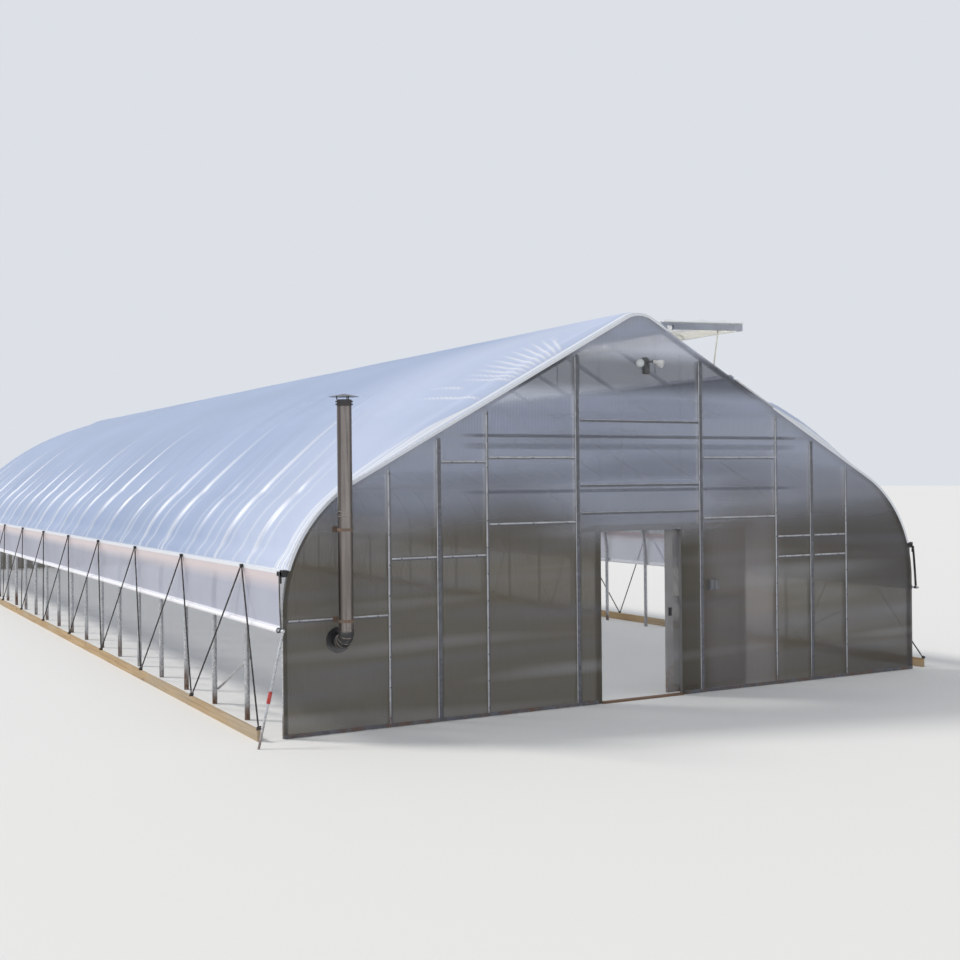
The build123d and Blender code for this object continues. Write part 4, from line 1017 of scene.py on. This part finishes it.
dark_steel = dark_steel_finish()
make_ropes()
give(timber_finish(), "ground_boards")
give(dark_steel, "rope_hooks")


# Corner brackets and crank
# A black cast clamp joins each end of the hip rail to the end hoop. The crank is a steel pole on
# a swivel, with a red sleeve to grip.
STRAP_PLACE = -0.075


def slab(low, high, edge=0.0015):
    """Plate with its edges taken off: a square outline drawn in towards both faces."""
    low, high = np.minimum(low, high).astype(float), np.maximum(low, high).astype(float)
    middle, half = (low + high) / 2, (high - low) / 2
    rows = []
    for inset, z in ((half[:2], low[2]), (edge * 2, low[2]), (0, low[2] + edge), (0, high[2] - edge),
                     (edge * 2, high[2]), (half[:2], high[2])):
        reach = half[:2] - inset
        rows.append([(middle[0] + x * reach[0], middle[1] + y * reach[1], z) for x, y in SQUARE])
    return grid_shape(np.array(rows), around=True, flip=True)


HEX_BOLT = turned([(0, 0), (0.012, 0), (0.012, 0.0022), (0.0095, 0.0024), (0.0095, 0.008), (0.0075, 0.0095),
                   (0, 0.0098)], 6)


def make_rail_brackets():
    out = RAIL_OUT + 0.022
    face, back = -0.037, -0.0305
    plates = [slab((RAIL_OUT - 0.085, face, RAIL_LOW - 0.012), (out, back, RAIL_HIGH + 0.010)),
              slab((RAIL_OUT + 0.002, face, RAIL_LOW - 0.075), (out, back, RAIL_LOW - 0.010)),
              slab((RAIL_OUT + 0.0045, face, RAIL_LOW - 0.002), (out, 0.060, RAIL_HIGH - 0.008))]
    bolts = [aimed(HEX_BOLT, (RAIL_OUT - inside, face, RAIL_LOW + 0.028), (0, -1, 0))
             for inside in (0.055, 0.008)]
    bolts.append(aimed(HEX_BOLT, (out, 0.030, RAIL_LOW + 0.022), (1, 0, 0)))
    clamps = at_both_ends(on_both_sides(plates + bolts))
    made_piece("rail_end_clamps", clamps, dark_steel, smooth=False)


def make_corner_straps():
    """Webbing from each rail clamp down to the curtain's pipe, where two turns hold it."""
    face = np.array([(-0.019, 0), (0.019, 0), (0.019, 0.003), (-0.019, 0.003)])
    drop = np.linspace(0, 1, 9)[:, None]
    top = np.array((RAIL_OUT + 0.026, -0.034, RAIL_LOW + 0.010))
    foot = np.array((ROLL_OUT, STRAP_PLACE, ROLL_HIGH + 0.020))
    path = top * (1 - drop) + foot * drop
    path[:, 0] += 0.004 * np.sin(pi * drop[:, 0])
    near, far = CORE + 0.0005, CORE + 0.004
    turns = turned([(near, -0.019), (far, -0.019), (far, 0.019), (near, 0.019)], 16)
    turns = aimed(turns, (ROLL_OUT, STRAP_PLACE, ROLL_HIGH), (0, 1, 0))
    straps = at_both_ends(on_both_sides([swept(path, face, (1, 0, 0)), turns]))
    made_piece("corner_straps", straps, rope_finish("webbing", place_on, 60.0), smooth=False)


def red_finish():
    """Red grip sleeve, chalky from the sun and scuffed."""
    material, tree, shader = new_finish("red grip")
    wear = noise(tree, 35.0, 6.0, stretch=(1, 1, 0.3))
    red = coloured(tree, ranged(tree, wear, 0.4, 0.7), (0.46, 0.030, 0.028, 1), (0.60, 0.12, 0.10, 1))
    fill(shader, {"Base Color": red, "Roughness": ranged(tree, wear, 0.3, 0.7, 0.4, 0.65)})
    bumped(shader, wear, 0.0004)
    return material


make_rail_brackets()
make_corner_straps()
give(galvanised, "crank_pole")
give(red_finish(), "crank_grip")


# End walls
# Eight millimetre twin-wall sheets, six feet wide, stand with their flutes upright and meet in
# joint strips on the wide studs. Screws with broad washers hold them to every stud and girt.
STUD_PLACES = HALF_WIDTH * np.array((0.2012, 0.4694, 0.6036, 0.7377))
WALL_FACE = -0.0385
DOOR_HALF = 0.600
DOOR_HIGH = 2.040
CLEAN_SHEET = (0.52, 0.55, 0.65, 1)
DIRT_HIGH = 2.45
SHADOW_BAND_HEIGHT = 3.93
COLLAR_HIGH = 3.170
COLLAR_BACK = TUBE + 0.022

# Height, half width and share of each dim line drawn across the sheets
TUBE_SHADES = ((COLLAR_HIGH, 0.026, 0.75), (COLLAR_HIGH - 0.12, 0.045, 0.40), (2.53, 0.026, 0.65))

STAY_LOW = 1.212
WIDE_HALF = 0.040
STUD_HALF = 0.025
STRIP_FOOT = 0.045
STUD_SCREW_STEP = 0.31
GIRT_SCREW_STEP = 0.36
SCREW_FROM_END = 0.12

# Bays of the wall between its studs, each as the x of its two edges
CENTRE = (-STUD_PLACES[0] + WIDE_HALF, STUD_PLACES[0] - WIDE_HALF)
INNER = (STUD_PLACES[0] + WIDE_HALF, STUD_PLACES[1] - STUD_HALF)
MID = (STUD_PLACES[1] + STUD_HALF, STUD_PLACES[2] - WIDE_HALF)
OUTER = (STUD_PLACES[2] + WIDE_HALF, STUD_PLACES[3] - STUD_HALF)
CORNER = (STUD_PLACES[3] + STUD_HALF, HALF_WIDTH - TUBE)


def apart(tree, value, middle):
    """How far a value is from a middle one."""
    return counted(tree, "ABSOLUTE", counted(tree, "SUBTRACT", value, middle))


def fluted_group():
    """Upright flutes of the sheet, with the dust on its outside: brown splash that thickens from
    above the door down to the ground, wiped paler beside the door and damp and dark towards the
    right corner; soft smears drawn out sideways, some dark and some pale; a painted shadow as a
    dark band under the lamps; and dim lines across it, as the shade of tubes inside the house."""
    group, given, out = new_group("twin-wall marks", {"Dirty": "Color"},
                                  {"Colour": "Color", "Dirt": "Float", "Flutes": "Float"})
    place = place_parts(group)
    cloud = counted(group, "MULTIPLY", noise(group, 0.8, 1.0, 0.4, (0.5, 1, 0.9)), 1.2)
    smears = noise(group, 1.3, 1.0, 0.4, (0.16, 1, 2.4), (0, 0.04, 0))
    edge = counted(group, "ADD", counted(group, "ADD", cloud, DIRT_HIGH),
                   ranged(group, place["X"], 1.0, 3.6, -0.6, -0.3))
    low = ranged(group, counted(group, "SUBTRACT", edge, place["Z"]), -0.35, 0.60, smooth=True)
    wiped = ranged(group, apart(group, place["X"], 1.55), 0.35, 0.75, 0.5, 0.0, smooth=True)
    damp = ranged(group, place["X"], 2.1, 4.2, 0.0, 0.6)
    # Painted shadow: a dark band across the sheet under the lamps.
    band = ranged(group, apart(group, place["Z"], SHADOW_BAND_HEIGHT), 0.10, 0.32, 0.88, 0.0, smooth=True)
    shade = coloured(group, low, CLEAN_SHEET, given["Dirty"])
    for share, colour in ((counted(group, "MULTIPLY", wiped, low), (0.36, 0.33, 0.33, 1)),
                          (counted(group, "MULTIPLY", damp, low), (0.07, 0.065, 0.065, 1)),
                          (ranged(group, smears, 0.50, 0.72, 0.0, 0.5), (0.20, 0.205, 0.24, 1)),
                          (ranged(group, smears, 0.46, 0.28, 0.0, 0.22), (0.70, 0.72, 0.78, 1)),
                          (band, (0.11, 0.115, 0.135, 1))):
        shade = coloured(group, share, shade, colour)
    across = ranged(group, apart(group, place["X"], 0.0), 2.2, 2.5, 1.0, 0.0)
    for middle, half, share in TUBE_SHADES:
        line = ranged(group, apart(group, place["Z"], middle), half * 0.4, half, share, 0.0)
        shade = coloured(group, counted(group, "MULTIPLY", line, across), shade, (0.13, 0.135, 0.16, 1))
    wave = shader_node(group, "TexWave", {"Vector": place_on(group), "Scale": 16.0, "Distortion": 0.0},
                       bands_direction="X", wave_profile="SIN").outputs["Fac"]
    fill(out, {"Colour": shade, "Dirt": low, "Flutes": wave})
    return group


FLUTED = fluted_group()


def twinwall_finish(name, dirty, cover):
    """Smoky twin-wall sheet: light comes through blurred, most of it sideways by the flutes."""
    material, tree, shader = new_finish(name, Transmission_Weight=0.45, IOR=1.25)
    marks = put_group(tree, FLUTED, Dirty=dirty)
    fill(shader, {"Base Color": marks["Colour"], "Alpha": view_stopped(tree, marks["Dirt"], cover),
                  "Roughness": ranged(tree, marks["Dirt"], 0.0, 1.0, 0.16, 0.30)})
    bumped(shader, marks["Flutes"], 0.004, 0.5)
    return material


wall_tube = zinc_finish("wall tube", (0.88, 0.87, 0.84, 1), (0.76, 0.76, 0.74, 1), 40.0, 0.04, metallic=0.05)
joint_metal = zinc_finish("joint strip", (0.16, 0.165, 0.19, 1), (0.11, 0.115, 0.13, 1), 25.0, 0.04,
                          metallic=0.2)
give(wall_tube, "front_studs", "front_girts", "back_studs", "back_girts")
give(twinwall_finish("wall sheet", (0.155, 0.138, 0.108, 1), (0.66, 0.80)), "front_glazing_left",
     "front_glazing_right", "front_glazing_over_door", "back_glazing")
give(twinwall_finish("door sheet", (0.22, 0.215, 0.21, 1), (0.72, 0.72)), "door_leaf_glazing")


def arch_height(x):
    """Height of the hoop's underside over a place on the ground line."""
    x = np.abs(x)
    slope = PEAK - x * tan(PITCH) - TUBE / cos(PITCH)
    bend = POST + np.sqrt(np.clip((EAVE_BEND - TUBE) ** 2 - (x - EAVE_MIDDLE) ** 2, 0, None))
    return float(np.where(x < BEND_OUT, slope, bend))


def on_left(bay):
    return -bay[1], -bay[0]


# Girts of the front wall, then of the back one, each as the x of its two ends and its height
GIRTS = [(*CENTRE, DOOR_HIGH + rise) for rise in (0.220, 0.548, 1.317)]
GIRTS += [(*bay, POST + rise) for bay in (INNER, on_left(INNER)) for rise in (0.893, 1.647)]
GIRTS += [(*on_left(MID), POST + 0.547), (*on_left(MID), POST + 1.600), (*on_left(OUTER), POST + 0.547)]
GIRTS += [(*bay, POST + rise) for bay in (MID, OUTER) for rise in (0.370, 0.630)]
GIRTS += [(*on_left(CORNER), STAY_LOW)]
BACK_GIRTS = [(*CENTRE, POST * share) for share in (0.87, 1.70, 2.64)]
BACK_GIRTS += [(*bay, POST * share) for right in (INNER, MID, OUTER) for bay in (right, on_left(right))
               for share in (0.87, 1.70)]


def make_collar_ties():
    """A tube across each end hoop, behind the wall's sheets."""
    reach = (PEAK - TUBE / cos(PITCH) - COLLAR_HIGH) / tan(PITCH) + 0.05
    tie = tapered([(-reach, COLLAR_BACK, COLLAR_HIGH), (reach, COLLAR_BACK, COLLAR_HIGH)], 0.021, 12)
    made_piece("end_collar_ties", at_both_ends([tie]), galvanised)


def make_wall_screws():
    """Rows of washers and heads on the studs, and between them along the girts."""
    head = turned([(0, -0.0004), (0.0105, -0.0004), (0.0095, 0.002), (0.0055, 0.0026), (0.0055, 0.0068),
                   (0, 0.0072)], 7)
    head = aimed(head, (0, WALL_FACE, 0), (0, -1, 0))
    places = []
    for x in (*-STUD_PLACES, *STUD_PLACES):
        top = arch_height(x) - 0.06
        places += [(x, 0, z) for z in np.linspace(0.10, top, int(top / STUD_SCREW_STEP) + 1)]
    feet = [(*bay, 0.022) for right in (INNER, MID, OUTER, CORNER) for bay in (right, on_left(right))]
    ends = []
    for girts in (GIRTS, BACK_GIRTS):
        heads = list(places)
        for start, end, z in girts + feet:
            count = max(2, int((end - start) / GIRT_SCREW_STEP))
            heads += [(x, 0, z) for x in np.linspace(start + SCREW_FROM_END, end - SCREW_FROM_END, count)]
        ends.append(repeated(head, heads))
    made_piece("wall_screws", ends[:1] + at_back(ends[1:]), joint_metal)


def make_wall_strips():
    """Joint strips on the wide studs and an edge channel along the foot of the sheets."""
    bead = np.array([(-0.022, 0), (0.022, 0), (0.021, 0.0022), (0.008, 0.0030), (-0.008, 0.0030),
                     (-0.021, 0.0022)])
    foot = np.array([(-0.0005, -0.018), (0.0035, -0.018), (0.0035, 0.016), (0.0015, 0.020), (-0.0005, 0.020)])
    shapes = []
    for side in (-1, 1):
        for x in side * STUD_PLACES[[0, 2]]:
            path = [(x, WALL_FACE, 0.012), (x, WALL_FACE, arch_height(x) - 0.005)]
            shapes.append(swept(path, bead, (0, -1, 0)))
        ends = sorted((side * (DOOR_HALF + 0.052), side * (HALF_WIDTH + TUBE - 0.002)))
        shapes.append(swept([(x, WALL_FACE, 0.024) for x in ends], foot, (0, 0, 1)))
    made_piece("wall_joint_strips", at_both_ends(shapes), joint_metal, smooth=False)


def flat_strip(start, end, half):
    """Thin strip on the wall's face between two places given as x and z."""
    bead = np.array([(-half, 0), (half, 0), (half - 0.001, 0.0018), (-half + 0.001, 0.0018)])
    return swept([(x, WALL_FACE, z) for x, z in (start, end)], bead, (0, -1, 0))


def darker(colour, share):
    return tuple(part * share for part in colour[:3]) + (1,)


def plastic_finish(name, colour, rough):
    material, tree, shader = new_finish(name)
    cloud = noise(tree, 22.0, 5.0)
    fill(shader, {"Base Color": coloured(tree, ranged(tree, cloud, 0.35, 0.7), colour, darker(colour, 0.78)),
                  "Roughness": ranged(tree, cloud, 0.3, 0.7, rough, rough + 0.15)})
    bumped(shader, cloud, 0.0003)
    return material


def make_wall_battens():
    """Strips over the narrow studs and the girts: a pale face of painted light, and a dark line of
    painted shadow along its right or its lower edge."""
    pale = []
    dark = []
    for side in (-1, 1):
        for place in STUD_PLACES[[1, 3]]:
            top = arch_height(place + STUD_HALF) - 0.01
            for strips, x, half in ((pale, side * place - 0.008, 0.010), (dark, side * place + 0.009, 0.007)):
                strips.append(flat_strip((x, STRIP_FOOT), (x, top), half))
        # A pale strip of painted light along the left edge of each wide stud.
        for place in STUD_PLACES[[0, 2]]:
            x = side * place - 0.028
            pale.append(flat_strip((x, STRIP_FOOT), (x, arch_height(place + WIDE_HALF) - 0.01), 0.006))
    faces = []
    for girts in (GIRTS, BACK_GIRTS):
        strips = []
        for start, end, z in girts:
            # Over the door the girts are mostly painted shadow, elsewhere mostly painted light.
            face, line = (0.003, 0.012) if start < 0 < end else (0.009, 0.006)
            strips.append((flat_strip((start, z + line), (end, z + line), face),
                           flat_strip((start, z - face), (end, z - face), line)))
        faces.append([list(kind) for kind in zip(*strips)])
    front, back = faces
    # Pale faces are painted light, dark strips painted shadow.
    batten = zinc_finish("pale batten", (0.56, 0.57, 0.60, 1), (0.42, 0.425, 0.44, 1), 14.0, 0.08,
                         metallic=0.1)
    painted_shadow = plastic_finish("painted_shadow", (0.16, 0.165, 0.19, 1), 0.6)
    for name, strips, kind, finish, slot in (("wall_battens", pale, 0, batten, "lock_channel"),
                                             ("wall_painted_shadow", dark, 1, painted_shadow, "dark_metal")):
        made_piece(name, strips + front[kind] + at_back(strips + back[kind]), finish, smooth=False)


make_collar_ties()
make_wall_screws()
make_wall_strips()
make_wall_battens()


# Doorway and sliding leaf
# A pale painted steel frame in the wall. The leaf hangs inside it on wheels that run in a
# channel, its bottom edge scuffed and dirty; the channel has rusted where the paint has gone.
def door_finish(name, paint, rust, top, fade):
    material, tree, shader = new_finish(name)
    cloud = noise(tree, 4.0, 6.0)
    shade = coloured(tree, ranged(tree, cloud, 0.3, 0.7), paint, darker(paint, 0.82))
    mask = put_group(tree, RUST, Amount=rust, Scale=9.0, Top=top, Fade=fade)["Mask"]
    fill(shader, {"Base Color": coloured(tree, mask, shade, (0.21, 0.13, 0.08, 1)),
                  "Roughness": ranged(tree, mask, 0.0, 1.0, 0.42, 0.8)})
    bumped(shader, cloud, 0.0006)
    return material


door_paint = door_finish("door paint", (0.30, 0.29, 0.29, 1), 0.08, 0.10, 0.6)
rusty_track = door_finish("rusty track", (0.26, 0.24, 0.22, 1), 0.36, 0.0, 1.0)
give(door_paint, "door_frame", "door_leaf_frame")
give(rusty_track, "door_track", "door_threshold")
give(dark_steel, "door_lock", "door_hangers")


# Flue
# Single skin stainless pipe up the outside of the front wall, with a bend through a wall plate,
# two stays and a rain cap. Heat and soot have turned the steel brown in upright streaks.
FLUE_OUT = -0.8713 * HALF_WIDTH
FLUE_FRONT = -0.260
FLUE_RADIUS = 0.078
FLUE_LOW = 0.991
FLUE_LENGTH = 2.529
FLUE_TOP = FLUE_LOW + FLUE_LENGTH
FLUE_SEAM = FLUE_LOW + 0.5255 * FLUE_LENGTH
SOOT_AND_REFLECTION = (0.10, 0.085, 0.08, 1)

# Angle round the pipe, half width and share of each band of painted reflection
REFLECTION_BANDS = ((-1.02, 0.30, 0.85), (-2.85, 0.50, 0.8), (0.30, 0.45, 0.6), (1.6, 0.8, 0.5))


def flue_finish():
    """Steel turned brown, with dark bands of painted reflection at four places round the pipe, a
    black collar at its top and upright streaks."""
    material, tree, shader = new_finish("stainless flue", Metallic=0.92)
    streak = noise(tree, 3.0, 7.0, 0.65, (9, 9, 0.3))
    cloud = ranged(tree, noise(tree, 2.2, 5.0), 0.35, 0.65)
    steel = coloured(tree, cloud, (0.34, 0.31, 0.29, 1), (0.27, 0.24, 0.22, 1))
    place = place_parts(tree)
    round_it = counted(tree, "ARCTAN2", counted(tree, "SUBTRACT", place["Y"], FLUE_FRONT),
                       counted(tree, "SUBTRACT", place["X"], FLUE_OUT))
    # Dark bands of painted reflection, fixed round the pipe.
    for middle, half, share in REFLECTION_BANDS:
        band = ranged(tree, apart(tree, round_it, middle), half * 0.4, half, share, 0.0, smooth=True)
        steel = coloured(tree, band, steel, SOOT_AND_REFLECTION)
    collar = ranged(tree, place["Z"], FLUE_TOP - 0.075, FLUE_TOP - 0.065, 0.0, 0.85)
    steel = coloured(tree, collar, steel, (0.05, 0.05, 0.055, 1))
    steel = coloured(tree, ranged(tree, streak, 0.45, 0.72, 0.0, 0.75), steel, SOOT_AND_REFLECTION)
    fill(shader, {"Base Color": steel, "Roughness": ranged(tree, streak, 0.3, 0.7, 0.22, 0.42)})
    bumped(shader, streak, 0.0006)
    return material


flue_steel = flue_finish()
bracket_steel = door_finish("rusty bracket", (0.20, 0.15, 0.12, 1), 0.42, 0.0, 1.0)
sooty_steel = zinc_finish("sooty flue steel", (0.15, 0.15, 0.155, 1), (0.07, 0.07, 0.072, 1), 9.0, 0.04,
                          metallic=0.9)
give(flue_steel, "flue_pipe", "flue_rain_cap")
give(sooty_steel, "flue_elbow", "flue_thimble")
give(bracket_steel, "flue_brackets")


def make_flue_fittings():
    """Gores of the bend as raised rings, a lapped seam up the pipe, and clamp bands with bolts."""
    bead = turned([(FLUE_RADIUS + 0.0025, -0.006), (FLUE_RADIUS + 0.0065, -0.004), (FLUE_RADIUS + 0.0075, 0),
                   (FLUE_RADIUS + 0.0065, 0.004), (FLUE_RADIUS + 0.0025, 0.006)], 28)
    bend = 0.120
    rings = []
    for angle in np.array((0.02, 0.26, 0.50, 0.74, 0.98)) * pi / 2:
        middle = (FLUE_OUT, FLUE_FRONT + bend * (1 - cos(angle)), FLUE_LOW + bend * (1 - sin(angle)))
        rings.append(aimed(bead, middle, (0, sin(angle), -cos(angle))))
    seam_out = FLUE_OUT + FLUE_RADIUS + 0.0005
    seam = swept([(seam_out, FLUE_FRONT, FLUE_LOW + 0.14), (seam_out, FLUE_FRONT, FLUE_TOP - 0.08)],
                 np.array([(-0.006, 0), (0.006, 0), (0.005, 0.0014), (-0.005, 0.0014)]), (1, 0, 0))
    inner, outer, edge = FLUE_RADIUS - 0.0002, FLUE_RADIUS + 0.0028, FLUE_RADIUS + 0.0020
    band = turned([(inner, -0.009), (edge, -0.009), (outer, -0.006), (outer, 0.006), (edge, 0.009),
                   (inner, 0.009)], 28)
    bands = []
    for z in (FLUE_SEAM + 0.026, FLUE_SEAM - 0.026, FLUE_LOW + 0.150):
        bands.append((band[0] + np.array((FLUE_OUT, FLUE_FRONT, z)), band[1]))
        bands.append(aimed(HEX_BOLT, (FLUE_OUT - edge, FLUE_FRONT - 0.012, z), (-1, 0, 0)))
    made_piece("flue_bands_and_seams", rings + [seam] + bands, flue_steel)


make_flue_fittings()


# Fittings on the front wall
# Twin flood lamps in white enamel on a dark round box under the peak, and a grey double switch
# box beside the doorway.
LAMP_AT = (0.060, WALL_FACE, RIDGE_MIDDLE + RIDGE_BEND - 0.540)
lamp_white = plastic_finish("lamp enamel", (0.80, 0.80, 0.78, 1), 0.3)
lamp_dark = plastic_finish("lamp box", (0.10, 0.10, 0.105, 1), 0.4)
grey_plastic = plastic_finish("grey switch box", (0.20, 0.20, 0.21, 1), 0.45)
give(grey_plastic, "switch_box")


def lens_finish():
    """Pale glass with a fine pattern of cells."""
    material, tree, shader = new_finish("lamp lens", Roughness=0.12)
    cells = shader_node(tree, "TexVoronoi", {"Vector": place_on(tree), "Scale": 120.0}).outputs["Distance"]
    fill(shader, {"Base Color": coloured(tree, cells, (0.82, 0.84, 0.85, 1), (0.55, 0.58, 0.60, 1))})
    return material


def make_flood_lamp():
    x, y, z = LAMP_AT
    box = turned([(0, 0), (0.056, 0), (0.056, 0.030), (0.052, 0.040), (0.040, 0.046), (0, 0.048)], 24)
    box = [aimed(box, LAMP_AT, (0, -1, 0)), aimed(HEX_BOLT, (x, y - 0.047, z), (0, -1, 0))]
    bell = turned([(0, -0.004), (0.018, -0.004), (0.021, 0.010), (0.021, 0.034), (0.026, 0.044),
                   (0.038, 0.064), (0.0455, 0.088), (0.048, 0.110), (0.0485, 0.119), (0.0455, 0.119),
                   (0.0445, 0.108)], 24)
    lens = turned([(0.0447, 0.106), (0.040, 0.110), (0.025, 0.1135), (0, 0.115)], 24)
    knuckle = turned([(0, -0.017), (0.012, -0.017), (0.015, -0.012), (0.015, 0.012), (0.012, 0.017),
                      (0, 0.017)], 16)
    sensor = slab((x - 0.034, y - 0.062, z - 0.150), (x + 0.034, y - 0.006, z - 0.030), 0.006)
    box.append(sensor)
    bells = []
    lenses = []
    for side in (-1, 1):
        start = np.array((x + side * 0.095, y - 0.060, z + 0.005))
        end = np.array((x + side * 0.170, y - 0.150, z - 0.035))
        bells.append(aimed(bell, start, end - start))
        lenses.append(aimed(lens, start, end - start))
        box.append(aimed(knuckle, start + np.array((-side * 0.004, 0.006, 0.001)), (0, 0.35, 1)))
        share = np.linspace(0, 1, 9)[:, None]
        arm = np.array((x + side * 0.02, y - 0.030, z)) * (1 - share) + (start + (0, 0.004, 0)) * share
        arm[:, 1] -= 0.010 * np.sin(pi * share[:, 0])
        box.append(tapered(arm, 0.0115, 10))
    body = made_piece("flood_lamp_box", box, lamp_dark)
    made_piece("flood_lamp_heads", bells, lamp_white)
    made_piece("flood_lamp_lenses", lenses, lens_finish())
    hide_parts("floodlight")


make_flood_lamp()
